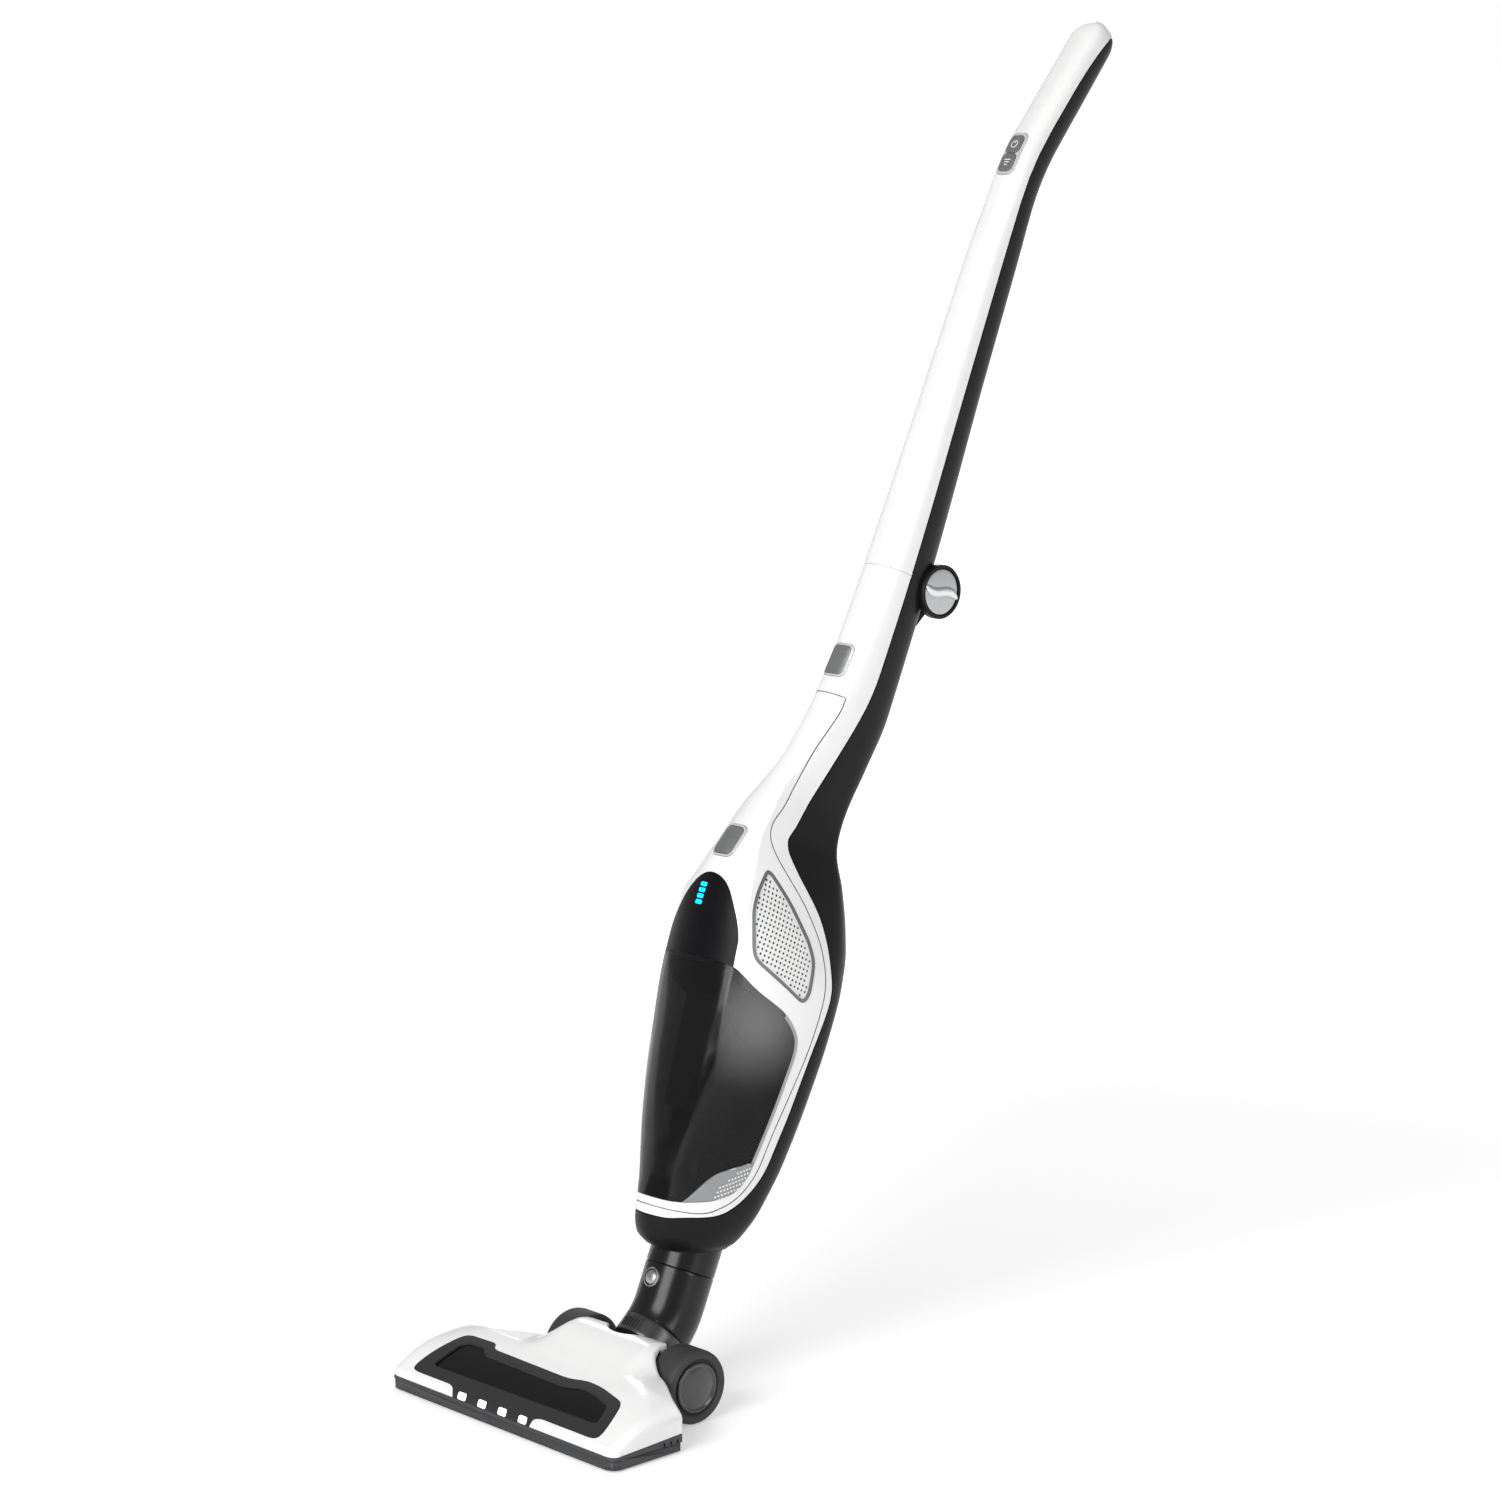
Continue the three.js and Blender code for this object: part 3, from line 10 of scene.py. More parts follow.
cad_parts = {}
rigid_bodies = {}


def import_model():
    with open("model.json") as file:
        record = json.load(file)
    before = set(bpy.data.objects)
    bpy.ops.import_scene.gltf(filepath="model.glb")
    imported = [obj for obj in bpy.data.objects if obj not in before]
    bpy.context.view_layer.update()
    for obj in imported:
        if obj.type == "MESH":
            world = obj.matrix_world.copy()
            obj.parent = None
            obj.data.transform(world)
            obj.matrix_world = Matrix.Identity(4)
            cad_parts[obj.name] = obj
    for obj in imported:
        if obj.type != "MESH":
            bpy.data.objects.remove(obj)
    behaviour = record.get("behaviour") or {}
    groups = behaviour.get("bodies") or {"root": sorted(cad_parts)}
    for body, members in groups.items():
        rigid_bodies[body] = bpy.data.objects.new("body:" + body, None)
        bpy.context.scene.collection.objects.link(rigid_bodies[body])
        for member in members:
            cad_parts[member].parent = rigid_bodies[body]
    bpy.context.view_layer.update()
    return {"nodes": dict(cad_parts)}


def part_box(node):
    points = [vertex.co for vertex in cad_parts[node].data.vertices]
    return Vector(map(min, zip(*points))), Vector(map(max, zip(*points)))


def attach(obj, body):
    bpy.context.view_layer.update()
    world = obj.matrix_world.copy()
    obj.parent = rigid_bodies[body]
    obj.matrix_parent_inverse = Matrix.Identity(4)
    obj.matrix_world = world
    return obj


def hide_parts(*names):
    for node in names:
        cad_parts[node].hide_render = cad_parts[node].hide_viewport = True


for stray in list(bpy.data.objects):
    bpy.data.objects.remove(stray)
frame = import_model()

# ------------------------------------------------------------------ measures
# Millimetres. The stick's frame has x across, n front to back and s up the stick, from the
# bottom of the bowl; the head's frame is the row's own, moved to its front edge.

# walls and clearances
GAP = 0.3
BODY_WALL = 2.6
UNIT_WALL = 2.4
CUP_WALL = 2.2
HEAD_WALL = 2.4
UNIT_HOLLOW_INSET = 5
RUNNING_GAP = 1.5
REACH = 130                   # past the sides of the stick, for cutters

# stick, from the bowl to the end of the grip
STICK_LEAN = math.radians(23.4)
JOINT_HEIGHT = 536
HANDLE_STRAIGHT = 841
GRIP_RADIUS = 215
GRIP_BEND = math.radians(16)
GRIP_END = HANDLE_STRAIGHT + GRIP_BEND * GRIP_RADIUS + 107
END_LENGTH = 16
END_DROP = 7
SEAM_DEPTH = -2.5
BOWL_TILT = 0.33
BOWL_PIVOT = 8.6
BOWL_TILT_FADE = 45

# folding joint and its clamp knob
FOLD_DEPTH = 31.2
FOLD_HEIGHT = 534.5
LUG_RADIUS = 13
LUG_SWEEP = LUG_RADIUS + 1
LUG_HALF = 8
LUG_OUTER = 16
LUG_SET_BACK = 0.05
LUG_WEB = 36
LUG_WEB_TOP = 15
BOLT_RADIUS = 4
KNOB_RADIUS = 21
KNOB_FACE = 24
KNOB_THICK = 8

# neck
ELBOW_BEND = math.radians(24)
ELBOW_RADIUS = 60
NECK_RADIUS = 26.4
NECK_DEPTH = -3
NECK_SEAM = 17
NECK_STRAIGHT = 43.6
NECK_LENGTH = NECK_STRAIGHT - NECK_SEAM + ELBOW_BEND * ELBOW_RADIUS
NECK_BUTTON_HEIGHT = -29
COLLAR_REACH = 30
COLLAR_LENGTH = 15
SPIGOT_RADIUS = 20
SPIGOT_BORE = 17.8
SLEEVE_RADIUS = SPIGOT_RADIUS + 3

# floor head
HEAD_WIDTH = 258
HEAD_DEPTH = 66
BASE_TOP = 9
RIDGE_HEIGHT = 43
HUMP_DEPTH = 114
HUMP_HEIGHT = 58
LIP_HEIGHT = 17.5
LIP_DEPTH = 4
END_RADIUS = 9
REAR_REACH = 45
REAR_FALL = 0.28
WHEEL_RADIUS = 28
WHEEL_INNER = 46
WHEEL_WIDTH = 27
WHEEL_ROOM = WHEEL_RADIUS + RUNNING_GAP
BRUSH_HALF = 107
BRUSH_DEPTH = 30
BRUSH_HEIGHT = 14.5


def middle_of(node):
    low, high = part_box(node)
    return [(a + b) * 500 for a, b in zip(low, high)]


LEFT_WHEEL = middle_of("wheel_left")
RIGHT_WHEEL = middle_of("wheel_right")
STICK_OFFSET = (LEFT_WHEEL[0] + RIGHT_WHEEL[0]) / 2
HEAD_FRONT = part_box("head_base")[0][1] * 1000
HINGE_DEPTH = RIGHT_WHEEL[1] - HEAD_FRONT


def hinge_in_stick():
    """Depth and height of the head's tilt hinge in the stick's frame."""
    c, s = math.cos(ELBOW_BEND), math.sin(ELBOW_BEND)
    depth = NECK_DEPTH - ELBOW_RADIUS * (1 - c) - s * COLLAR_REACH
    return depth, -NECK_STRAIGHT - ELBOW_RADIUS * s - c * COLLAR_REACH


def frame_matrices():
    """Local millimetres to row metres: the head's frame and the stick's."""
    scale = Matrix.Scale(0.001, 4)
    head = scale @ Matrix.Translation((0, HEAD_FRONT, 0))
    turn = Matrix.Rotation(-STICK_LEAN, 4, "X")
    depth, height = hinge_in_stick()
    at_hinge = Matrix.Translation((STICK_OFFSET, RIGHT_WHEEL[1], RIGHT_WHEEL[2]))
    stick = scale @ at_hinge @ turn @ Matrix.Translation((0, -depth, -height))
    return np.array(head), np.array(stick)


HEAD, STICK = frame_matrices()


# --------------------------------------------------------------------- forms
def keyed(keys):
    """A smooth curve through given keys (at, value), flat at each turning point."""
    slopes = [0.0] * len(keys)
    for i in range(1, len(keys) - 1):
        before = (keys[i][1] - keys[i - 1][1]) / (keys[i][0] - keys[i - 1][0])
        after = (keys[i + 1][1] - keys[i][1]) / (keys[i + 1][0] - keys[i][0])
        slopes[i] = 0.0 if before * after <= 0 else 2 * before * after / (before + after)

    def value(at):
        if at <= keys[0][0]:
            return keys[0][1]
        if at >= keys[-1][0]:
            return keys[-1][1]
        i = next(k for k, key in enumerate(keys) if key[0] > at) - 1
        span = keys[i + 1][0] - keys[i][0]
        t = (at - keys[i][0]) / span
        return ((2 * t ** 3 - 3 * t ** 2 + 1) * keys[i][1] + (t ** 3 - 2 * t ** 2 + t) * span * slopes[i]
                + (3 * t ** 2 - 2 * t ** 3) * keys[i + 1][1] + (t ** 3 - t ** 2) * span * slopes[i + 1])
    return value


def smooth(value, low, high):
    """An eased step from nought at low to one at high."""
    t = min(max((value - low) / (high - low), 0), 1)
    return t * t * (3 - 2 * t)


def lerp(a, b, t):
    return a + (b - a) * t


half_width = keyed([(0, 27), (4, 31), (10, 34), (20, 37.2), (45, 43), (80, 49.5), (127, 55), (175, 57.5),
                    (205, 56.5), (235, 51.5), (265, 43), (290, 34.5), (317, 23.5), (350, 19), (400, 18.2),
                    (470, 19.5), (546, 20.3), (700, 17.5), (HANDLE_STRAIGHT, 15.6), (1100, 15.6)])
front_depth = keyed([(0, 30), (4, 39), (10, 47), (18, 53), (45, 60), (88, 69), (142, 78), (205, 87.5),
                     (255, 92), (282, 90), (303, 84), (334, 70), (385, 49), (430, 37), (475, 30),
                     (546, 25), (600, 23.2), (700, 21.7), (800, 20), (HANDLE_STRAIGHT, 16.5), (1100, 15)])
back_depth = keyed([(0, 24), (4, 27), (10, 29.5), (20, 31.5), (45, 34.5), (80, 38.2), (235, 39), (263, 34),
                    (290, 24), (325, 10), (351, 13.5), (385, 22), (430, 29.5), (546, 28), (600, 26.6),
                    (700, 23.4), (800, 21.3), (HANDLE_STRAIGHT, 19.5), (1100, 17)])
widest_depth = keyed([(0, -3), (45, 3), (205, 5), (290, 0), (400, 0), (475, SEAM_DEPTH), (1100, SEAM_DEPTH)])
crease_half = keyed([(0, 16), (22, 16), (45, 19), (88, 27), (142, 35.5), (205, 38.5), (250, 37.5), (276, 31),
                     (303, 22), (334, 17), (351, 14), (400, 11)])
crease_depth = keyed([(0, 26), (10, 42), (22, 50), (45, 55.5), (88, 63), (142, 69), (205, 78), (250, 81),
                      (276, 78), (303, 74), (334, 65), (351, 59), (400, 42)])
ROUNDNESS = 2.7
CREASE_SHARE = 0.6
CREASE_FADE = (330, 400)
CREASE_BOW = -0.55
FRONT_STEPS = list(np.linspace(0, CREASE_SHARE, 15)) + list(np.linspace(CREASE_SHARE, 1, 9)[1:])
BACK_STEPS = np.linspace(0, math.pi, 42)[1:-1]


def stick_section(height, inset):
    """The closed section (x, n) at a height, inset by a wall: right front, left front, back."""
    half = half_width(height) - inset
    middle = widest_depth(height)
    front = front_depth(height) - inset
    back = back_depth(height) - inset
    edge = (crease_half(height) - inset * 0.75, -(crease_depth(height) - inset * 0.85))
    bow = CREASE_BOW * crease_depth(height)
    share = 1 - smooth(height, *CREASE_FADE)
    power = 2 / ROUNDNESS
    quarter = []
    for t in FRONT_STEPS:
        angle = t * math.pi / 2
        c, s = max(math.cos(angle), 0) ** power, math.sin(angle) ** power
        if t <= CREASE_SHARE:
            v = t / CREASE_SHARE
            creased = ((1 - v * v) * half + v * v * edge[0],
                       (1 - v) ** 2 * middle + 2 * v * (1 - v) * bow + v * v * edge[1])
        else:
            v = 1 - (t - CREASE_SHARE) / (1 - CREASE_SHARE)
            creased = (edge[0] * v, -front + (front + edge[1]) * v * v)
        quarter.append((lerp(half * c, creased[0], share),
                        lerp(middle - (front + middle) * s, creased[1], share)))
    left = [(-x, n) for x, n in quarter[-2::-1]]
    rear = []
    for angle in BACK_STEPS:
        c = -math.cos(angle)
        rear.append((half * math.copysign(abs(c) ** power, c),
                     middle + (back - middle) * math.sin(angle) ** power))
    return quarter + left + rear


def stick_axis(height):
    """Depth, height and lean of the stick's own axis, which bends back in the grip."""
    if height <= HANDLE_STRAIGHT:
        return 0.0, height, 0.0
    angle = min((height - HANDLE_STRAIGHT) / GRIP_RADIUS, GRIP_BEND)
    beyond = height - HANDLE_STRAIGHT - angle * GRIP_RADIUS
    return (GRIP_RADIUS * (1 - math.cos(angle)) + beyond * math.sin(angle),
            HANDLE_STRAIGHT + GRIP_RADIUS * math.sin(angle) + beyond * math.cos(angle), angle)


def stick_ring(height, inset):
    """The stick's section set square to its axis, and tilted at the foot of the bowl."""
    depth, up, lean = stick_axis(height)
    tilt = BOWL_TILT * (1 - smooth(height, 0, BOWL_TILT_FADE))
    c, s = math.cos(lean), math.sin(lean)
    return [(x, depth + n * c, up + (n + BOWL_PIVOT) * tilt - n * s) for x, n in stick_section(height, inset)]


BODY_HEIGHTS = [0, 1, 2.2, 4, 6, 8, 10, 12.5, 15, 18, 22, 27, 33, 40] + list(range(47, 244, 7)) \
    + list(range(246, 404, 4)) + list(range(406, 534, 7)) + [JOINT_HEIGHT]
HANDLE_HEIGHTS = [JOINT_HEIGHT + GAP, 541, 547, 554, 563] + list(range(575, 840, 14)) \
    + list(range(841, 905, 4)) + list(np.linspace(910, GRIP_END - END_LENGTH, 9))


def body_form(inset):
    """The bowl and shaft up to the folding joint, inset by a wall."""
    last = len(BODY_HEIGHTS) - 1
    rings = [stick_ring(h + (inset if i == 0 else 0) + (2 * inset if i == last else 0), inset)
             for i, h in enumerate(BODY_HEIGHTS)]
    return loft("body_form", rings)


def handle_form(inset):
    """The handle from the folding joint to the rounded end of the grip, inset by a wall."""
    rings = [stick_ring(h - (inset * 2 if i == 0 else 0), inset) for i, h in enumerate(HANDLE_HEIGHTS)]
    for turn in np.linspace(0, math.pi / 2, 7)[1:]:
        height = GRIP_END - END_LENGTH + (END_LENGTH - inset) * math.sin(turn)
        rings.append(stick_ring(height, inset + END_DROP * (1 - math.cos(turn))))
    return loft("handle_form", rings)


# -------------------------------------------------------------------- meshes
def new_object(name, points, faces):
    """A mesh object in the scene, from points and the faces that join them."""
    mesh = bpy.data.meshes.new(name)
    mesh.from_pydata([tuple(p) for p in points], [], faces)
    mesh.update()
    piece = bpy.data.objects.new(name, mesh)
    bpy.context.scene.collection.objects.link(piece)
    return piece


def signed_volume(points, faces):
    """Six times the volume, negative where the faces point inwards."""
    total = 0.0
    p = np.array(points)
    for face in faces:
        for k in range(1, len(face) - 1):
            total += np.dot(p[face[0]], np.cross(p[face[k]], p[face[k + 1]]))
    return total


def loft(name, rings, closed=False):
    """A solid through rings of points; closed joins the last ring to the first."""
    count = len(rings[0])
    points = [p for ring in rings for p in ring]
    total = len(rings)
    faces = []
    for r in range(total if closed else total - 1):
        a, b = r * count, ((r + 1) % total) * count
        faces += [(a + i, a + (i + 1) % count, b + (i + 1) % count, b + i) for i in range(count)]
    if not closed:
        for r, flip in ((0, True), (total - 1, False)):
            points.append(tuple(np.mean(rings[r], axis=0)))
            for i in range(count):
                pair = (r * count + i, r * count + (i + 1) % count)
                faces.append((*(pair[::-1] if flip else pair), len(points) - 1))
    if signed_volume(points, faces) < 0:
        faces = [face[::-1] for face in faces]
    return new_object(name, points, faces)


AXES = {"side": lambda a, b, d: (d, a, b),
        "front": lambda a, b, d: (a, d, b),
        "plan": lambda a, b, d: (a, b, d)}


def block(view, outline, low, high):
    """Extrudes an outline drawn in one view through the object, from low to high."""
    place = AXES[view]
    count = len(outline)
    points = [place(a, b, d) for d in (low, high) for a, b in outline]
    faces = [(i, (i + 1) % count, (i + 1) % count + count, i + count) for i in range(count)]
    faces += [tuple(range(count))[::-1], tuple(range(count, 2 * count))]
    if signed_volume(points, faces) < 0:
        faces = [face[::-1] for face in faces]
    return new_object("cutter", points, faces)


def box_block(low, high):
    outline = [(low[0], low[1]), (high[0], low[1]), (high[0], high[1]), (low[0], high[1])]
    return block("plan", outline, low[2], high[2])


def turned(name, profile, start, end, sides=72):
    """A solid of revolution from a list of (along, radius) on the axis start to end."""
    a, b = np.array(start, float), np.array(end, float)
    along = (b - a) / np.linalg.norm(b - a)
    side = np.cross(along, (0, 0, 1) if abs(along[2]) < 0.9 else (1, 0, 0))
    side /= np.linalg.norm(side)
    other = np.cross(along, side)
    solid = profile[0][1] < 1e-6 and profile[-1][1] < 1e-6
    inner = profile[1:-1] if solid else profile
    rings = [[tuple(a + along * h + (side * math.cos(t) + other * math.sin(t)) * r)
              for t in np.linspace(0, 2 * math.pi, sides + 1)[:-1]] for h, r in inner]
    if not solid:
        return loft(name, rings, closed=True)
    piece = loft(name, rings)
    mesh = piece.data
    for k, (h, _) in ((-2, profile[0]), (-1, profile[-1])):
        mesh.vertices[len(mesh.vertices) + k].co = a + along * h
    return piece


def evaluated_mesh(piece):
    return bpy.data.meshes.new_from_object(piece.evaluated_get(bpy.context.evaluated_depsgraph_get()))


def carve(piece, *cutters, how="DIFFERENCE"):
    """Cuts, joins or intersects a piece with others, which are used up."""
    for cutter in cutters:
        step = piece.modifiers.new("carve", "BOOLEAN")
        step.operation = how
        step.solver = "MANIFOLD"
        step.object = cutter
        old = piece.data
        piece.data = evaluated_mesh(piece)
        piece.modifiers.clear()
        bpy.data.meshes.remove(old)
        bpy.data.objects.remove(cutter)
    return piece


def common(piece, *others):
    return carve(piece, *others, how="INTERSECT")


def join(piece, *others):
    return carve(piece, *others, how="UNION")


def copy_of(piece, name="copy"):
    twin = piece.copy()
    twin.data = piece.data.copy()
    twin.name = name
    bpy.context.scene.collection.objects.link(twin)
    return twin


def settle(piece, name, place, material, body, replaces=(), sharp=32):
    """Puts a finished piece in the row's frame, in metres, and ties it to its body."""
    mesh = piece.data
    points = np.empty(len(mesh.vertices) * 3)
    mesh.vertices.foreach_get("co", points)
    points = points.reshape(-1, 3) @ place[:3, :3].T + place[:3, 3]
    mesh.vertices.foreach_set("co", points.ravel())
    mesh.materials.clear()
    mesh.materials.append(material)
    mesh.polygons.foreach_set("material_index", [0] * len(mesh.polygons))
    mesh.shade_smooth()
    mesh.set_sharp_from_angle(angle=math.radians(sharp))
    mesh.update()
    piece.name = name
    mesh.name = name
    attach(piece, body)
    if replaces:
        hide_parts(*replaces)
    return piece


# ----------------------------------------------------------------- materials
def group_of(name, inputs, outputs):
    """A shader node group with float or colour sockets, and its two end nodes."""
    tree = bpy.data.node_groups.new(name, "ShaderNodeTree")
    for label, kind, value in inputs:
        socket = tree.interface.new_socket(label, in_out="INPUT", socket_type=kind)
        if value is not None:
            socket.default_value = value
    for label, kind in outputs:
        tree.interface.new_socket(label, in_out="OUTPUT", socket_type=kind)
    return tree, tree.nodes.new("NodeGroupInput"), tree.nodes.new("NodeGroupOutput")


def node(tree, kind, links=None, **settings):
    """Adds a node; links maps its input names to a value or to another node's output."""
    made = tree.nodes.new("ShaderNode" + kind)
    for key, value in settings.items():
        setattr(made, key, value)
    for key, value in (links or {}).items():
        socket = made.inputs[key]
        if isinstance(value, bpy.types.NodeSocket):
            tree.links.new(value, socket)
        else:
            socket.default_value = value
    return made


def moulding_group():
    """Texture of moulded plastic: fine grain, faint flow lines and handling marks."""
    tree, given, made = group_of("moulded_surface", [
        ("Place", "NodeSocketVector", None), ("Colour", "NodeSocketColor", (0.8, 0.8, 0.8, 1)),
        ("Tone", "NodeSocketFloat", 0.03), ("Roughness", "NodeSocketFloat", 0.3),
        ("Marks", "NodeSocketFloat", 0.06), ("Grain", "NodeSocketFloat", 900),
        ("Depth", "NodeSocketFloat", 0.2)],
        [("Colour", "NodeSocketColor"), ("Roughness", "NodeSocketFloat"), ("Height", "NodeSocketFloat")])
    grain = node(tree, "TexNoise", {"Vector": given.outputs["Place"], "Scale": given.outputs["Grain"],
                                    "Detail": 2.0, "Roughness": 0.55})
    flow = node(tree, "TexNoise", {"Vector": given.outputs["Place"], "Scale": 14.0, "Detail": 3.0})
    marks = node(tree, "TexNoise", {"Vector": given.outputs["Place"], "Scale": 55.0, "Detail": 4.0,
                                    "Roughness": 0.7})
    tone = node(tree, "MapRange", {"Value": flow.outputs["Fac"], "From Min": 0.3, "From Max": 0.7,
                                   "To Min": 1.0, "To Max": 0.0})
    share = node(tree, "Math", {0: tone.outputs["Result"], 1: given.outputs["Tone"]}, operation="MULTIPLY")
    darker = node(tree, "Math", {0: 1.0, 1: share.outputs[0]}, operation="SUBTRACT")
    colour = node(tree, "VectorMath", {0: given.outputs["Colour"], 3: darker.outputs[0]}, operation="SCALE")
    spread = node(tree, "MapRange", {"Value": marks.outputs["Fac"], "From Min": 0.35, "From Max": 0.75,
                                     "To Min": 0.0, "To Max": 1.0})
    added = node(tree, "Math", {0: spread.outputs["Result"], 1: given.outputs["Marks"],
                                2: given.outputs["Roughness"]}, operation="MULTIPLY_ADD")
    height = node(tree, "Math", {0: grain.outputs["Fac"], 1: given.outputs["Depth"]}, operation="MULTIPLY")
    tree.links.new(colour.outputs[0], made.inputs["Colour"])
    tree.links.new(added.outputs[0], made.inputs["Roughness"])
    tree.links.new(height.outputs[0], made.inputs["Height"])
    return tree


def brushing_group():
    """Fine brushed lines along one axis of the object, for bare and metallised parts."""
    tree, given, made = group_of("brushed_lines", [
        ("Place", "NodeSocketVector", None), ("Stretch", "NodeSocketVector", (1, 1, 1)),
        ("Roughness", "NodeSocketFloat", 0.3), ("Depth", "NodeSocketFloat", 0.3)],
        [("Roughness", "NodeSocketFloat"), ("Height", "NodeSocketFloat")])
    pulled = node(tree, "VectorMath", {0: given.outputs["Place"], 1: given.outputs["Stretch"]},
                  operation="MULTIPLY")
    lines = node(tree, "TexNoise", {"Vector": pulled.outputs[0], "Scale": 1.0, "Detail": 3.0,
                                    "Roughness": 0.6})
    rough = node(tree, "MapRange", {"Value": lines.outputs["Fac"], "From Min": 0.3, "From Max": 0.7,
                                    "To Min": -0.06, "To Max": 0.08})
    added = node(tree, "Math", {0: rough.outputs["Result"], 1: given.outputs["Roughness"]}, operation="ADD")
    height = node(tree, "Math", {0: lines.outputs["Fac"], 1: given.outputs["Depth"]}, operation="MULTIPLY")
    tree.links.new(added.outputs[0], made.inputs["Roughness"])
    tree.links.new(height.outputs[0], made.inputs["Height"])
    return tree


MOULDED = moulding_group()
BRUSHED = brushing_group()


def new_material(name):
    """A material with its node tree, its shader and the object's own coordinates."""
    material = bpy.data.materials.new(name)
    material.use_nodes = True
    tree = material.node_tree
    shader = tree.nodes["Principled BSDF"]
    place = tree.nodes.new("ShaderNodeTexCoord").outputs["Object"]
    return material, tree, shader, place


def plastic(name, colour, rough, tone, coat=0.0, marks=0.05, grain=900.0, depth=0.15, **sockets):
    """Moulded plastic: gloss, satin or grained by its roughness, coat and grain."""
    material, tree, shader, place = new_material(name)
    skin = node(tree, "Group", {"Place": place, "Colour": (*colour, 1), "Tone": tone, "Roughness": rough,
                                "Marks": marks, "Grain": grain, "Depth": depth}, node_tree=MOULDED)
    bump = node(tree, "Bump", {"Height": skin.outputs["Height"], "Strength": 0.25, "Distance": 0.00006})
    tree.links.new(skin.outputs["Colour"], shader.inputs["Base Color"])
    tree.links.new(skin.outputs["Roughness"], shader.inputs["Roughness"])
    tree.links.new(bump.outputs["Normal"], shader.inputs["Normal"])
    shader.inputs["Coat Weight"].default_value = coat
    shader.inputs["Coat Roughness"].default_value = 0.06
    for key, value in sockets.items():
        shader.inputs[key.replace("_", " ")].default_value = value
    return material


def metal(name, colour, rough, stretch, depth=0.4, metallic=1.0):
    """Bare or metallised surface with fine lines along the axis that is stretched least."""
    material, tree, shader, place = new_material(name)
    lines = node(tree, "Group", {"Place": place, "Stretch": stretch, "Roughness": rough, "Depth": depth},
                 node_tree=BRUSHED)
    bump = node(tree, "Bump", {"Height": lines.outputs["Height"], "Strength": 0.3, "Distance": 0.00005})
    shader.inputs["Base Color"].default_value = (*colour, 1)
    shader.inputs["Metallic"].default_value = metallic
    tree.links.new(lines.outputs["Roughness"], shader.inputs["Roughness"])
    tree.links.new(bump.outputs["Normal"], shader.inputs["Normal"])
    return material


def clear_plastic(name, colour, rough, alpha, painted_highlight=None):
    """Tinted clear plastic as a thin see-through skin; an optional painted highlight lightens its side faces
    about a centre.
    """
    material, tree, shader, place = new_material(name)
    shade = (*colour, 1)
    # Painted highlight: a lighter grey mixed into the base colour on the side faces near a centre, standing
    # in for a reflection of the lamps.
    if painted_highlight:
        apart = node(tree, "VectorMath", {0: place, 1: [-v for v in painted_highlight["centre"]]}, operation="ADD")
        shrink = (0, 1 / painted_highlight["reach"][0], 1 / painted_highlight["reach"][1])
        even = node(tree, "VectorMath", {0: apart.outputs[0], 1: shrink}, operation="MULTIPLY")
        away = node(tree, "VectorMath", {0: even.outputs[0]}, operation="LENGTH")
        near = node(tree, "MapRange", {"Value": away.outputs["Value"], "From Min": 0.0, "From Max": 1.0,
                                       "To Min": 1.0, "To Max": 0.0}, interpolation_type="SMOOTHSTEP")
        parts = node(tree, "SeparateXYZ", {0: apart.outputs[0]})
        out = node(tree, "Math", {0: parts.outputs[0]}, operation="ABSOLUTE")
        flank = node(tree, "MapRange", {"Value": out.outputs[0], "From Min": painted_highlight["flank"] - 0.001,
                                        "From Max": painted_highlight["flank"] + 0.001}, interpolation_type="SMOOTHSTEP")
        share = node(tree, "Math", {0: near.outputs["Result"], 1: flank.outputs["Result"]},
                     operation="MULTIPLY")
        mixed = node(tree, "Mix", {0: share.outputs[0], 6: (*colour, 1), 7: (*painted_highlight["colour"], 1)},
                     data_type="RGBA")
        shade = mixed.outputs[2]
    skin = node(tree, "Group", {"Place": place, "Colour": shade, "Tone": 0.1, "Roughness": rough,
                                "Marks": 0.03, "Grain": 300.0, "Depth": 0.1}, node_tree=MOULDED)
    tree.links.new(skin.outputs["Colour"], shader.inputs["Base Color"])
    tree.links.new(skin.outputs["Roughness"], shader.inputs["Roughness"])
    shader.inputs["Alpha"].default_value = alpha
    shader.inputs["Specular IOR Level"].default_value = 0.25
    return material


def lamp(name, colour, strength):
    """A lit lens with a faint grain."""
    material, tree, shader, place = new_material(name)
    fine = node(tree, "TexNoise", {"Vector": place, "Scale": 1200.0})
    tint = node(tree, "MapRange", {"Value": fine.outputs["Fac"], "To Min": 0.85, "To Max": 1.0})
    shade = node(tree, "VectorMath", {0: colour, 3: tint.outputs["Result"]}, operation="SCALE")
    tree.links.new(shade.outputs[0], shader.inputs["Emission Color"])
    shader.inputs["Base Color"].default_value = (*colour, 1)
    shader.inputs["Emission Strength"].default_value = strength
    shader.inputs["Roughness"].default_value = 0.25
    return material


WHITE = plastic("white_gloss_shell", (0.89, 0.89, 0.885), 0.24, coat=0.35, tone=0.02, marks=0.03,
                grain=500, depth=0.05)
BLACK_SATIN = plastic("black_satin_shell", (0.008, 0.008, 0.009), 0.36, tone=0.15, marks=0.06,
                      grain=2200, depth=0.8, Specular_IOR_Level=0.16)
BLACK_GLOSS = plastic("black_gloss_neck", (0.006, 0.006, 0.007), 0.22, tone=0.1, marks=0.03, grain=700,
                      Specular_IOR_Level=0.32)
COLLAR = plastic("collar_dark_sheen", (0.014, 0.014, 0.016), 0.3, tone=0.1, marks=0.03, grain=900,
                 Specular_IOR_Level=0.9)
CHARCOAL = plastic("charcoal_base", (0.045, 0.046, 0.05), 0.5, tone=0.12, marks=0.08, grain=2600, depth=1.0)
TREAD = plastic("wheel_rubber", (0.035, 0.035, 0.037), 0.62, tone=0.15, marks=0.12, grain=1800, depth=1.2)
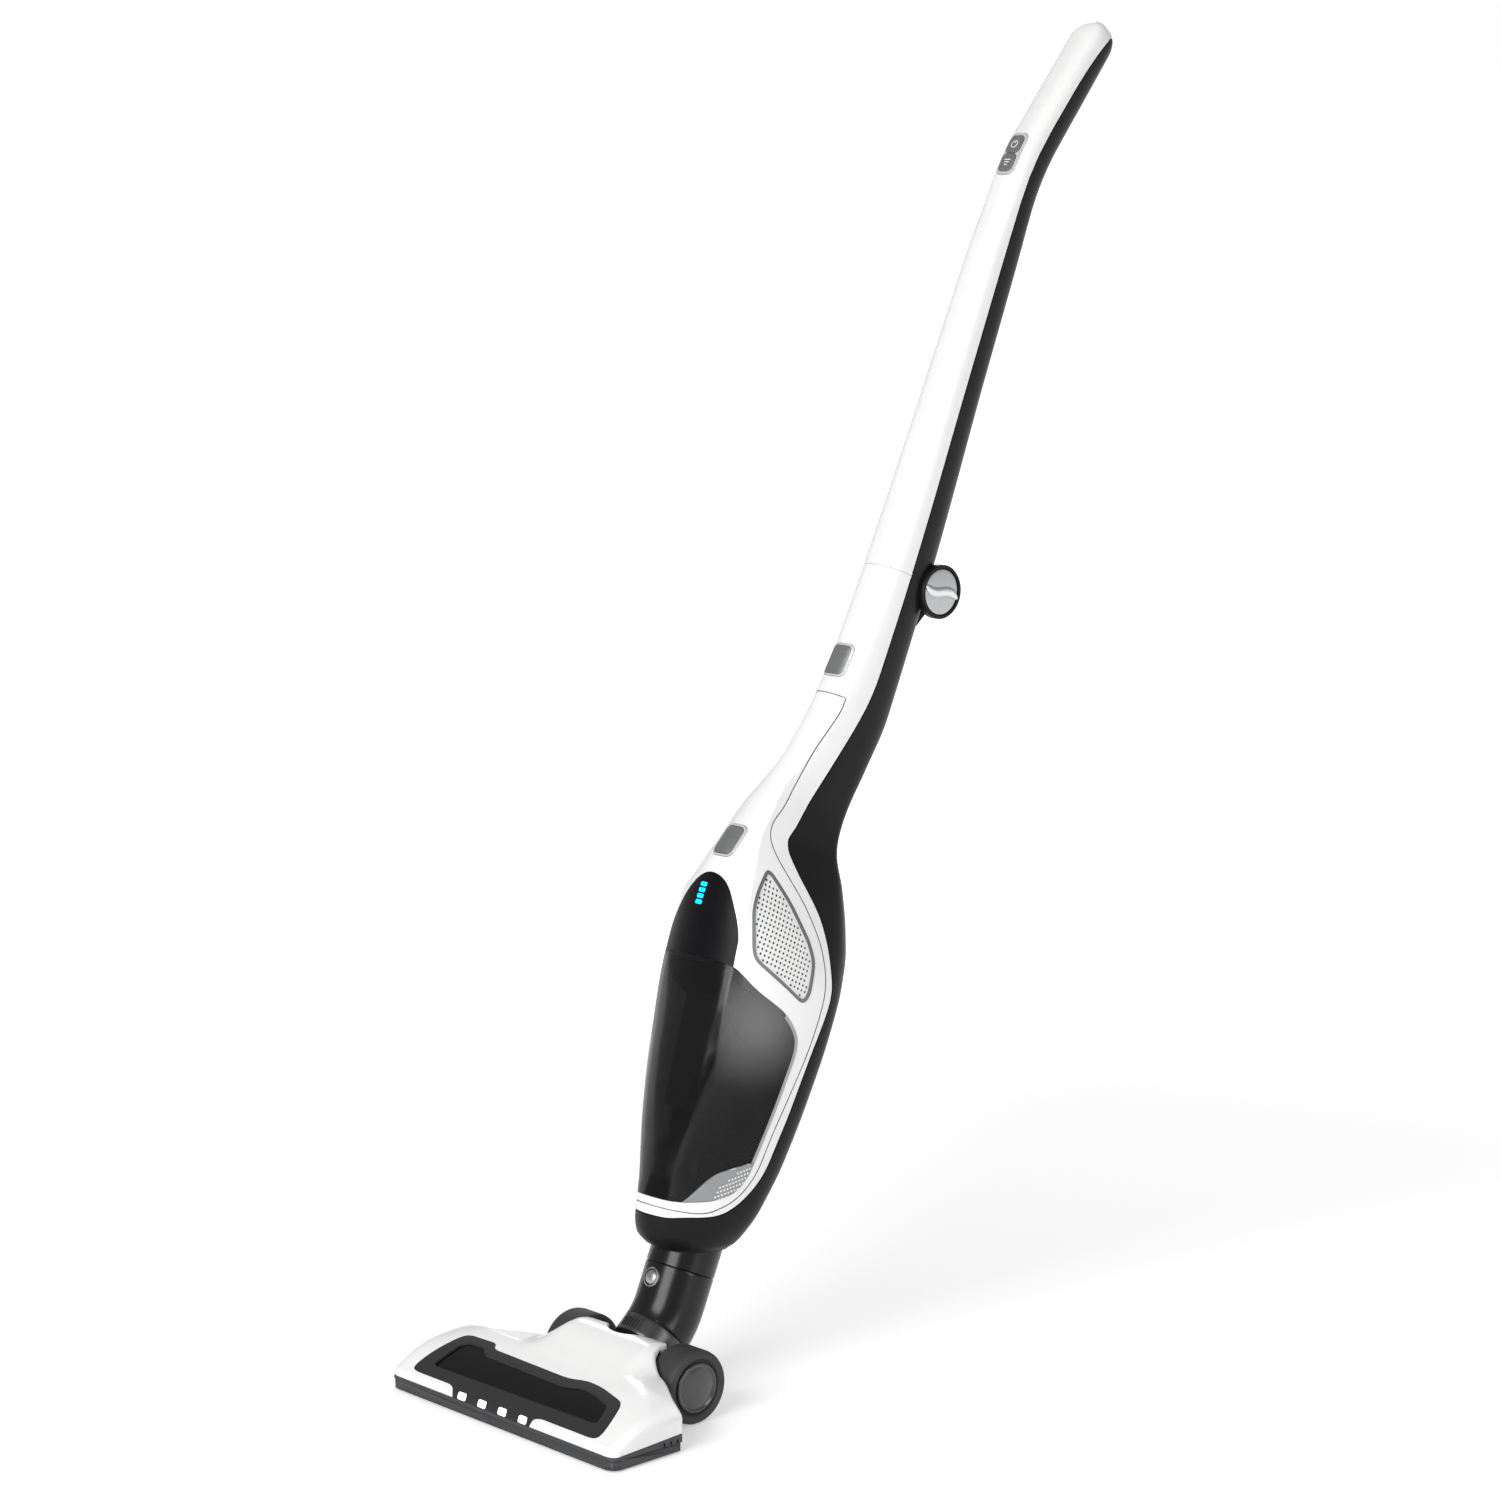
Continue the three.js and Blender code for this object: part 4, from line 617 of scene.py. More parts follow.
CAP = plastic("wheel_cap_gloss", (0.035, 0.035, 0.037), 0.2, coat=0.4, tone=0.1, marks=0.03, depth=0.05)
PALE_TRIM = plastic("pale_grey_trim", (0.36, 0.365, 0.37), 0.3, coat=0.2, tone=0.05)
FILTER = plastic("filter_paper", (0.3, 0.3, 0.29), 0.9, tone=0.2, marks=0.05, grain=1500, depth=2.0)
BRISTLE = plastic("bristle_pile", (0.03, 0.032, 0.036), 0.85, tone=0.3, grain=3000, depth=2.0)
BOARD = plastic("lamp_board_green", (0.03, 0.09, 0.055), 0.5, tone=0.2)
CELL = plastic("battery_wrap", (0.05, 0.1, 0.2), 0.4, tone=0.05)
BELT = plastic("belt_rubber", (0.012, 0.012, 0.012), 0.75, tone=0.1, grain=1500, depth=1.5)
DISPLAY = plastic("display_gloss", (0.004, 0.004, 0.005), 0.3, tone=0.05, marks=0.03, grain=300, depth=0.05,
                  Specular_IOR_Level=0.12)
SILVER = metal("satin_silver", (0.42, 0.425, 0.43), 0.33, (60, 60, 900))
TRIM = metal("trim_grey", (0.3, 0.305, 0.31), 0.36, (60, 60, 900))
STEEL = metal("turned_steel", (0.55, 0.56, 0.58), 0.28, (900, 60, 60))
# Centre of the painted highlight on the cup's side faces: a lighter grey patch in the colour that stands in
# for a lamp reflection.
CUP_HIGHLIGHT_CENTRE = (np.array(STICK) @ np.array((0, -48, 176, 1)))[:3]
CUP = clear_plastic("smoked_cup", (0.006, 0.006, 0.007), 0.1, 0.72,
                    {"centre": [float(v) for v in CUP_HIGHLIGHT_CENTRE], "reach": (0.06, 0.062), "flank": 0.0365,
                     "colour": (0.2, 0.2, 0.2)})
WINDOW = clear_plastic("smoked_window", (0.002, 0.002, 0.003), 0.12, 0.94)
LENS = lamp("lamp_white", (1.0, 1.0, 1.0), 1.1)
BRIGHT = metal("bright_silver", (0.62, 0.625, 0.63), 0.22, (60, 60, 700))
CHROME = metal("ring_pale_silver", (0.82, 0.82, 0.82), 0.2, (60, 60, 500), depth=0.1, metallic=0.55)
VENT_RIM = metal("vent_rim_grey", (0.17, 0.175, 0.18), 0.36, (300, 60, 300), metallic=0.4)
GRILLE = plastic("vent_mesh_pale", (0.84, 0.84, 0.83), 0.35, coat=0.1, tone=0.03, grain=1200)
DOT_PRINT = plastic("printed_dots", (0.82, 0.82, 0.81), 0.4, tone=0.03)
BORDER = plastic("window_border_black", (0.02, 0.02, 0.021), 0.35, tone=0.1, marks=0.05, grain=1200,
                 Specular_IOR_Level=0.4)
BLUE = lamp("level_blue", (0.0, 0.42, 1.0), 2.2)


# ------------------------------------------------------------------ outlines
LINE_STEPS = 170


def smooth_line(points):
    """A smooth line through given points."""
    line = []
    last = len(points) - 1
    for k in range(LINE_STEPS + 1):
        at = k / LINE_STEPS * last
        i = min(int(at), last - 1)
        t = at - i
        p = [np.array(points[min(max(j, 0), last)], float) for j in (i - 1, i, i + 1, i + 2)]
        v0, v1 = (p[2] - p[0]) / 2, (p[3] - p[1]) / 2
        line.append(tuple((2 * p[1] - 2 * p[2] + v0 + v1) * t ** 3
                          + (3 * p[2] - 3 * p[1] - 2 * v0 - v1) * t * t + v0 * t + p[1]))
    return line


def offset_line(line, amount):
    """Moves a side view line square to itself, towards the front when amount is positive."""
    moved = []
    for i, (depth, height) in enumerate(line):
        a, b = line[max(i - 1, 0)], line[min(i + 1, len(line) - 1)]
        length = math.dist(a, b)
        moved.append((depth + amount * (b[1] - a[1]) / length, height - amount * (b[0] - a[0]) / length))
    return moved


def in_front_of(line):
    """The side view area in front of a seam line."""
    return line + [(-2 * REACH, line[-1][1]), (-2 * REACH, line[0][1])]


def behind(line):
    """The side view area behind a seam line."""
    return line + [(-2 * REACH, -40), (REACH, -40), (REACH, 600), (line[0][0], 600)]


def between(line, width):
    """A narrow band that follows a side view line."""
    return offset_line(line, width / 2) + offset_line(line, -width / 2)[::-1]


def rounded(outline, radius):
    """The outline with each corner turned into a small curve."""
    soft = []
    count = len(outline)
    for i, corner in enumerate(outline):
        p, a, b = (np.array(q, float) for q in (corner, outline[i - 1], outline[(i + 1) % count]))
        start = p + (a - p) * min(0.45, radius / np.linalg.norm(a - p))
        end = p + (b - p) * min(0.45, radius / np.linalg.norm(b - p))
        for t in np.linspace(0, 1, 5):
            soft.append(tuple((1 - t) ** 2 * start + 2 * t * (1 - t) * p + t * t * end))
    return soft


def grown(outline, amount):
    """The outline moved outwards by an amount, corner by corner."""
    points = np.array(outline, float)
    x, y = points[:, 0], points[:, 1]
    turn = 1 if np.sum(x * np.roll(y, -1) - np.roll(x, -1) * y) > 0 else -1
    result = []
    for i in range(len(points)):
        before, after = points[i] - points[i - 1], points[(i + 1) % len(points)] - points[i]
        before, after = before / np.linalg.norm(before), after / np.linalg.norm(after)
        normal = np.array([before[1] + after[1], -before[0] - after[0]]) * turn
        normal = normal / np.linalg.norm(normal)
        square = np.array([before[1], -before[0]]) * turn
        result.append(tuple(points[i] + normal * amount / max(0.5, float(np.dot(normal, square)))))
    return result


def rounded_box(x, y, width, height, corner, steps=7):
    """Rectangle with round corners in any view."""
    centres = [(1, 1, 0), (-1, 1, 90), (-1, -1, 180), (1, -1, 270)]
    return [(x + a * (width / 2 - corner) + corner * math.cos(math.radians(turn + t)),
             y + b * (height / 2 - corner) + corner * math.sin(math.radians(turn + t)))
            for a, b, turn in centres for t in np.linspace(0, 90, steps)]


# side view: where the hand unit meets the body, and the white frame the black back
UNIT_LINE = smooth_line([(-REACH, 434), (-40, 430), (-27, 424), (-40, 384), (-55, 340), (-66, 316),
                         (-58, 296), (-27, 266), (-7, 240), (3, 212), (3, 170), (-2, 106), (-3, 62),
                         (-17, 36), (-45, 23.5), (-REACH, 18.5)])
SHELL_LINE = smooth_line([(SEAM_DEPTH, 566), (SEAM_DEPTH, 480), (-5, 432), (-20, 381), (-40, 328),
                          (-48, 309), (-38, 291), (-11, 262), (6, 228), (11, 204), (7, 160), (6, 100),
                          (4, 62), (-12, 33), (-39, 20), (-60, 14), (-REACH, 6)])
CUP_OUTLINE = rounded([(-REACH, 208), (-79, 208), (-58, 196), (-27, 186), (-12, 174), (-8, 162), (-8, 62),
                       (-13, 48), (-26, 38), (-50, 28.5), (-REACH, 24.5)], 9)
CUP_HOLLOW = rounded([(-REACH, 230), (-20, 230), (-20, 176), (-10.2, 160), (-10.2, 62), (-16.2, 50),
                      (-29.2, 40), (-50, 31), (-REACH, 28)], 8)
VENT_OUTLINE = rounded([(-63, 284), (-44, 268), (-20, 243), (-12, 230), (-11, 204), (-16, 197), (-64, 216),
                        (-68.5, 222), (-77.5, 253), (-75.5, 265), (-68, 284)], 6)
VENT_AIR = [(-69, 262), (-52, 254), (-34, 234), (-32, 216), (-62, 226), (-70, 246)]
DISPLAY_ARCH = [(math.cos(t), 226 + 45 * math.sin(t) ** 0.8) for t in np.linspace(0, math.pi, 49)]
DISPLAY_OUTLINE = [(38, 199)] + [((38 - 9 * smooth(h, 216, 263)) * c, h) for c, h in DISPLAY_ARCH] \
    + [(-38, 199)]
TRIM_OUTLINE = rounded([(-6, 75), (-12, 73), (-22, 66.5), (-32, 59.5), (-37, 52), (-40, 43), (-44, 32),
                        (-52, 20), (20, 20), (20, 75)], 5)
TRIM_DOTS = [(-9.5, 73), (-15, 69), (-22, 57), (-28, 48), (-27, 38), (-18, 42), (-12, 52), (-9, 62)]
TONGUE = [(-60, 262), (0, 262), (0, 352), (-10, 360), (-60, 360)]
TONGUE_HOLLOW = [(-60, 240), (-4, 264.5), (-4, 350), (-12, 356), (-60, 356)]
UNIT_HOLLOW = [(-100, 216), (-76, 216), (-52, 206), (-24, 198), (-14, 198), (-12, 212), (-20, 244),
               (-32, 268), (-66, 290), (-75, 316), (-100, 316)]
DISPLAY_BACK = -60
TONGUE_HALF = 11.2
TONGUE_WALL = 2.4

FORMS = {}


def stick_form(kind, inset):
    """A fresh copy of the body's or the handle's form, inset by a wall."""
    if (kind, inset) not in FORMS:
        FORMS[kind, inset] = (body_form if kind == "body" else handle_form)(inset)
    return copy_of(FORMS[kind, inset])


def skin(outer, inner, kind="body"):
    """The band between two insets of the stick's form."""
    return carve(stick_form(kind, outer), stick_form(kind, inner))


def side(outline, low=-REACH, high=REACH):
    """A block drawn in the side view, from its left to its right end."""
    return block("side", outline, low, high)


def front(outline, low=-REACH, high=-8):
    """A block drawn in the front view, through the stick's front skin alone."""
    return block("front", outline, low, high)


def rod(start, end, radius, sides=72):
    length = math.dist(start, end)
    return turned("rod", [(0, 0), (0, radius), (length, radius), (length, 0)], start, end, sides)


# ----------------------------------------------------------------- main body
RELEASE = (0, 457, 22, 27)
POWER = (0, 298, 22, 27)


def build_body():
    """The black back shell, the white frame in front of it, the release button and the neck's socket."""
    frame_skin = skin(0, BODY_WALL)
    shell = common(copy_of(frame_skin), side(behind(SHELL_LINE)))
    web = side([(20, FOLD_HEIGHT - LUG_WEB), (27, FOLD_HEIGHT - LUG_WEB),
                (FOLD_DEPTH + LUG_RADIUS, FOLD_HEIGHT), (20, FOLD_HEIGHT)], -LUG_HALF, LUG_HALF)
    lug = join(fold_rod(-LUG_HALF, LUG_HALF, LUG_RADIUS), web)
    carve(lug, stick_form("body", BODY_WALL - 0.4))
    join(shell, lug)
    carve(shell, rod((0, NECK_DEPTH, -16), (0, NECK_DEPTH, 13), SLEEVE_RADIUS + GAP),
          fold_rod(-40, 40, BOLT_RADIUS + GAP), fold_rod(-40, -LUG_HALF - LUG_SET_BACK, LUG_SWEEP),
          fold_rod(LUG_HALF + LUG_SET_BACK, 40, LUG_SWEEP), knob_space(), seam_groove(SHELL_LINE))
    settle(shell, "back_shell", STICK, BLACK_SATIN, "main_body", ["body_back_shell"])

    rim = common(frame_skin, side(behind(offset_line(UNIT_LINE, -GAP))))
    carve(rim, side(behind(offset_line(SHELL_LINE, GAP))), seam_groove(UNIT_LINE), seam_groove(SHELL_LINE),
          front(rounded_box(*grow_box(RELEASE, GAP), 5), -60))
    settle(rim, "front_frame", STICK, WHITE, "main_body", ["body_front_frame"])
    gasket = common(skin(0.2, 0.7), side(between(offset_line(UNIT_LINE, -0.45), 0.8)))
    settle(gasket, "unit_gasket", STICK, BELT, "main_body")
    framed_button("release", RELEASE, 5, "unit_release", "hand_unit_release_button")

    socket = turned("socket", [(0, SPIGOT_RADIUS + GAP), (0, NECK_RADIUS - 0.5), (0.5, NECK_RADIUS),
                               (NECK_SEAM + 12, NECK_RADIUS), (NECK_SEAM + 12, SPIGOT_RADIUS + GAP)],
                    (0, NECK_DEPTH, -NECK_SEAM), (0, NECK_DEPTH, 0))
    foot = [(n, (n + BOWL_PIVOT) * BOWL_TILT - GAP) for n in (-60, 60)]
    carve(socket, side(foot + [(60, 60), (-60, 60)]))
    sleeve = [(0, SPIGOT_RADIUS + GAP), (0, SLEEVE_RADIUS), (26, SLEEVE_RADIUS), (26, SPIGOT_RADIUS + GAP)]
    join(socket, turned("sleeve", sleeve, (0, NECK_DEPTH, -2), (0, NECK_DEPTH, 0)))
    settle(socket, "neck_socket_tube", STICK, BLACK_GLOSS, "main_body", ["neck_socket"])


def grow_box(box, amount):
    return box[0], box[1], box[2] + 2 * amount, box[3] + 2 * amount


def fold_rod(low, high, radius):
    return rod((low, FOLD_DEPTH, FOLD_HEIGHT), (high, FOLD_DEPTH, FOLD_HEIGHT), radius)


def knob_space():
    """Room for the clamp knob."""
    return fold_rod(KNOB_FACE - KNOB_THICK - GAP, KNOB_FACE + GAP, KNOB_RADIUS + GAP)


def seam_groove(line):
    """A shallow groove that follows a seam on the stick's skin."""
    return common(skin(-1, 0.5), side(between(line, 1.1)))


def framed_button(name, box, corner, body, cad_node):
    """A brushed cap inside a bright ring, with a dark line between them."""
    ring = common(skin(-0.7, 3.4), front(rounded_box(*box, corner)))
    carve(ring, front(rounded_box(*grow_box(box, -1.6), corner - 1.5)))
    floor = common(skin(0.9, 2.6), front(rounded_box(*grow_box(box, -1.4), corner - 1.3)))
    cap = common(skin(-0.5, 2.2), front(rounded_box(*grow_box(box, -2.0), corner - 1.9)))
    settle(ring, name + "_ring", STICK, CHROME, body, [cad_node])
    settle(floor, name + "_floor", STICK, CHARCOAL, body, [cad_node])
    settle(cap, name + "_cap", STICK, SILVER, body, [cad_node])


# ----------------------------------------------------------------- hand unit
def field_tree(name, kind, radius_socket, radius, length, sides):
    """One shape on every point of the base mesh, with its sizes and finish as named inputs."""
    tree = bpy.data.node_groups.new(name, "GeometryNodeTree")
    face = tree.interface
    face.new_socket("Points", in_out="INPUT", socket_type="NodeSocketGeometry")
    for label, number, value in (("Radius", "NodeSocketFloat", radius), ("Length", "NodeSocketFloat", length),
                                 ("Sides", "NodeSocketInt", sides)):
        face.new_socket(label, in_out="INPUT", socket_type=number).default_value = value
    face.new_socket("Finish", in_out="INPUT", socket_type="NodeSocketMaterial")
    face.new_socket("Field", in_out="OUTPUT", socket_type="NodeSocketGeometry")
    given, made = tree.nodes.new("NodeGroupInput"), tree.nodes.new("NodeGroupOutput")
    shape = tree.nodes.new(kind)
    spots = tree.nodes.new("GeometryNodeInstanceOnPoints")
    real = tree.nodes.new("GeometryNodeRealizeInstances")
    paint = tree.nodes.new("GeometryNodeSetMaterial")
    for a, b in ((given.outputs["Radius"], shape.inputs[radius_socket]),
                 (given.outputs["Length"], shape.inputs["Depth"]),
                 (given.outputs["Sides"], shape.inputs["Vertices"]),
                 (given.outputs["Points"], spots.inputs["Points"]),
                 (spots.outputs["Instances"], real.inputs["Geometry"]),
                 (real.outputs["Geometry"], paint.inputs["Geometry"]),
                 (given.outputs["Finish"], paint.inputs["Material"]),
                 (paint.outputs["Geometry"], made.inputs["Field"])):
        tree.links.new(a, b)
    return tree, shape, spots


def peg_tree():
    """Pegs across the object, for perforations and printed dots."""
    tree, peg, spots = field_tree("peg_field", "GeometryNodeMeshCylinder", "Radius", 1.1, 60.0, 14)
    turn = tree.nodes.new("GeometryNodeTransform")
    turn.inputs["Rotation"].default_value = (0, math.pi / 2, 0)
    tree.links.new(peg.outputs["Mesh"], turn.inputs["Geometry"])
    tree.links.new(turn.outputs["Geometry"], spots.inputs["Instance"])
    return tree


PEGS = peg_tree()


def grown_from(name, points, tree, **values):
    """Runs a Geometry Nodes tree on loose points and returns the plain mesh."""
    base = new_object(name, points, [])
    step = base.modifiers.new(name, "NODES")
    step.node_group = tree
    for item in tree.interface.items_tree:
        if item.in_out == "INPUT" and item.name in values:
            step[item.identifier] = values[item.name]
    result = evaluated_mesh(base)
    base.modifiers.clear()
    base.data = result
    return base


def inside(outline, x, y):
    """Whether a point lies inside an outline."""
    hit = False
    for i, (ax, ay) in enumerate(outline):
        bx, by = outline[i - 1]
        if (ay > y) != (by > y) and x < (bx - ax) * (y - ay) / (by - ay) + ax:
            hit = not hit
    return hit


GRID_START = (-45, 240)
GRID_COUNT = 90
FLANKS = (("right", 20, REACH), ("left", -REACH, -20))


def grid_points(outline, pitch, lean):
    """Spots (n, s) of a leaning grid that lie inside a side view outline."""
    c, s = math.cos(lean), math.sin(lean)
    spots = []
    for i in range(-GRID_COUNT, GRID_COUNT):
        for j in range(-GRID_COUNT, GRID_COUNT):
            n, h = i * pitch[0], j * pitch[1]
            n, h = n * c - h * s + GRID_START[0], n * s + h * c + GRID_START[1]
            if inside(outline, n, h):
                spots.append((n, h))
    return spots


def flank_pegs(name, spots, low, high, radius, sides):
    """Pegs on the spots of a side view, through one flank of the stick."""
    return grown_from(name, [((low + high) / 2, n, h) for n, h in spots], PEGS,
                      Radius=radius, Length=2.0 * REACH, Sides=sides)


def unit_floors():
    """The two floors that carry the motor and the battery inside the hand unit."""
    plates = join(box_block((-REACH, -REACH, 232), (REACH, REACH, 235.5)),
                  box_block((-REACH, -REACH, 284), (REACH, REACH, 286.5)))
    motor_hole = rod((0, -55, 215), (0, -55, 255), 12)
    return carve(plates, motor_hole, box_block((-5, -55, 271), (5, -25, 301)))


def build_hand_unit():
    """The white housing with its tongue and hollow, its button, display and vents."""
    housing = common(stick_form("body", 0), side(in_front_of(UNIT_LINE)))
    join(housing, common(side(TONGUE, -TONGUE_HALF, TONGUE_HALF), stick_form("body", BODY_WALL + GAP)))
    hollow = common(stick_form("body", UNIT_HOLLOW_INSET), side(UNIT_HOLLOW))
    join(hollow, common(side(TONGUE_HOLLOW, TONGUE_WALL - TONGUE_HALF, TONGUE_HALF - TONGUE_WALL),
                        stick_form("body", UNIT_HOLLOW_INSET)))
    carve(hollow, unit_floors())
    vents = join(*[side(grown(VENT_OUTLINE, GAP), low, high) for _, low, high in FLANKS])
    motor_air = box_block((-20, -62, 170), (20, -34, 225))
    inlet = rod((0, -20, 60), (0, 20, 60), 13)
    carve(housing, side(grown(CUP_OUTLINE, GAP)), hollow, motor_air, common(skin(-1, UNIT_WALL + GAP), vents),
          side(VENT_AIR, 27, REACH), side(VENT_AIR, -REACH, -27),
          common(skin(-1, UNIT_WALL + GAP), front(grown(DISPLAY_OUTLINE, GAP), -REACH, DISPLAY_BACK)),
          front(rounded_box(*grow_box(POWER, GAP), 6), -REACH, -55), inlet, seam_groove(UNIT_LINE))
    settle(housing, "unit_shell", STICK, WHITE, "hand_unit", ["hand_unit_housing"])
    framed_button("unit_power", POWER, 6, "unit_power", "hand_unit_power_button")
    build_display()
    build_vents()


def build_display():
    """Gloss cover with four lit level bars."""
    cover = common(skin(0, UNIT_WALL), front(DISPLAY_OUTLINE, -REACH, DISPLAY_BACK))
    carve(cover, side(grown(CUP_OUTLINE, GAP)))
    bars = [rounded_box(-5.0, 247.2 + 4.6 * i, 7.2, 3.1, 0.8, 4) for i in range(4)]
    for bar in bars:
        carve(cover, front(grown(bar, 0.15), -REACH, DISPLAY_BACK))
    settle(cover, "display_panel", STICK, DISPLAY, "hand_unit", ["display_cover"])
    lit = join(*[common(skin(0.1, UNIT_WALL), front(bar, -REACH, DISPLAY_BACK)) for bar in bars])
    settle(lit, "level_bars", STICK, BLUE, "hand_unit", ["level_light_bar"])


def build_vents():
    """On each flank a metallised rim, a perforated sheet and the dark screen behind its holes."""
    opening = rounded(grown(VENT_OUTLINE, -2.2), 3)
    field = grid_points(grown(VENT_OUTLINE, -4.0), (3.6, 3.8), math.radians(-6))
    for name, low, high in FLANKS:
        rim = carve(common(skin(-0.35, UNIT_WALL), side(VENT_OUTLINE, low, high)), side(opening, low, high))
        settle(rim, "vent_rim_" + name, STICK, VENT_RIM, "hand_unit", ["vent_frame_" + name])
        sheet = common(skin(0.9, 1.6), side(grown(opening, -0.15), low, high))
        carve(sheet, flank_pegs("vent_holes", field, low, high, 1.05, 12))
        settle(sheet, "vent_mesh_" + name, STICK, GRILLE, "hand_unit", ["vent_grille_" + name])
        screen = common(skin(1.65, 2.1), side(grown(opening, -0.15), low, high))
        settle(screen, "vent_screen_" + name, STICK, BELT, "hand_unit",
               ["vent_grille_" + name])


# ------------------------------------------------------------------ dust cup
def build_cup():
    """The smoked cup with pockets for its bead and trims, and the filter inside it."""
    cup = common(stick_form("body", 0), side(CUP_OUTLINE))
    inner = common(stick_form("body", CUP_WALL), side(CUP_HOLLOW))
    trim_pocket = common(skin(-1, 1.2), side(grown(TRIM_OUTLINE, GAP)))
    bead_line = grown(CUP_OUTLINE, -2.6)
    bead_zone = side([(-30, 90), (-30, 200), (20, 200), (20, 66), (-12, 66)])
    bead_pocket = carve(common(skin(-1, 1.3), bead_zone), side(bead_line))
    common(bead_pocket, side(grown(CUP_OUTLINE, 2)))
    carve(cup, inner, rod((0, -30, 60), (0, 5, 60), 12), trim_pocket, bead_pocket)
    settle(cup, "cup_shell", STICK, CUP, "dust_cup", ["dust_cup"])
    build_cup_trims(bead_line)
    build_filter()


def build_cup_trims(bead_line):
    """The bead along the cup's edge, and on each flank a trim with a painted highlight along its top edge and
    printed dots.
    """
    zone = side([(-28, 92), (-28, 200), (20, 200), (20, 67), (-12, 67)])
    bead = common(carve(common(skin(-0.3, 1.2), zone), side(grown(bead_line, 0.05))), side(CUP_OUTLINE))
    carve(bead, side(grown(TRIM_OUTLINE, 0.25)))
    settle(bead, "cup_bead", STICK, PALE_TRIM, "dust_cup")
    dots = grid_points(TRIM_DOTS, (2.5, 3.0), math.radians(38))
    for name, low, high in FLANKS:
        plate = common(skin(-0.25, 0.9), side(TRIM_OUTLINE, low, high))
        common(plate, side(grown(CUP_OUTLINE, -GAP)))
        # Painted highlight: a strip of the plate along its top edge, flush with it, in brighter silver where
        # the edge would catch the light.
        edge = carve(copy_of(plate), side(grown(TRIM_OUTLINE, -0.9), low, high),
                     box_block((-REACH, -60, 0), (REACH, 20, 44)))
        settle(plate, "trim_" + name, STICK, TRIM, "dust_cup", ["cup_trim_" + name])
        settle(edge, "trim_painted_highlight_" + name, STICK, BRIGHT, "dust_cup")
        print_spots = common(skin(-0.45, 0.3), flank_pegs("trim_dots", dots, low, high, 0.72, 10))
        common(print_spots, side(grown(TRIM_OUTLINE, -1.2), low, high))
        settle(print_spots, "trim_dots_" + name, STICK, DOT_PRINT, "dust_cup")


def build_filter():
    """Pleated filter with its rim, seen through the smoked cup."""
    rings = []
    for share in np.linspace(0, 1, 9):
        half, near, far = lerp(23.4, 16.6, share), lerp(-61.5, -57.6, share), lerp(-30.5, -34.4, share)
        ring = []
        for i, (x, n) in enumerate(rounded_box(0, (near + far) / 2, 2 * half, far - near, 6, 24)):
            pull = 0.93 if i % 2 else 1.0
            ring.append((x * pull, (n + 46) * pull - 46, lerp(184, 97, share)))
        rings.append(ring)
    settle(loft("pleats", rings), "filter_pleats", STICK, FILTER, "dust_cup", ["cup_filter"],
           sharp=20)
    rim = common(stick_form("body", CUP_WALL + GAP),
                 side([(-77, 205), (-58, 194), (-28, 184.5), (-28, 181), (-58, 190.5), (-77, 201.5)]))
    settle(rim, "filter_rim", STICK, CHARCOAL, "dust_cup", ["cup_filter"])


# ---------------------------------------------------------------------- neck
def elbow_point(angle):
    """Depth and height of a point on the elbow's centre arc."""
    return (NECK_DEPTH - ELBOW_RADIUS * (1 - math.cos(angle)),
            -NECK_STRAIGHT - ELBOW_RADIUS * math.sin(angle))


def along_neck(distance):
    """Depth, height and lean of the neck's axis, a distance below the socket's seam."""
    straight = NECK_STRAIGHT - NECK_SEAM
    if distance < straight:
        return NECK_DEPTH, -NECK_SEAM - distance, 0.0
    angle = min((distance - straight) / ELBOW_RADIUS, ELBOW_BEND)
    beyond = distance - straight - angle * ELBOW_RADIUS
    depth, height = elbow_point(angle)
    return depth - math.sin(angle) * beyond, height - math.cos(angle) * beyond, angle


def neck_ring(distance, radius):
    """Points around the neck's axis at a distance below the socket's seam."""
    depth, height, lean = along_neck(distance)
    return [(radius * math.cos(t), depth + radius * math.sin(t) * math.cos(lean),
             height - radius * math.sin(t) * math.sin(lean))
            for t in np.linspace(0, 2 * math.pi, 73)[:-1]]


def neck_tube(name, start, end, radius, bore, lip=0.5):
    """A tube along the neck's axis, its two ends eased by a small lip."""
    stops = [start, start + lip * 0.3, start + lip] + list(np.linspace(start + 3, end - 3, 12)) \
        + [end - lip, end - lip * 0.3, end]
    drops = [lip, lip * 0.3] + [0] * 14 + [lip * 0.3, lip]
    outer = [neck_ring(at, radius - drop) for at, drop in zip(stops, drops)]
    inner = [neck_ring(at, bore) for at in stops[::-1]]
    return loft(name, outer + inner, closed=True)


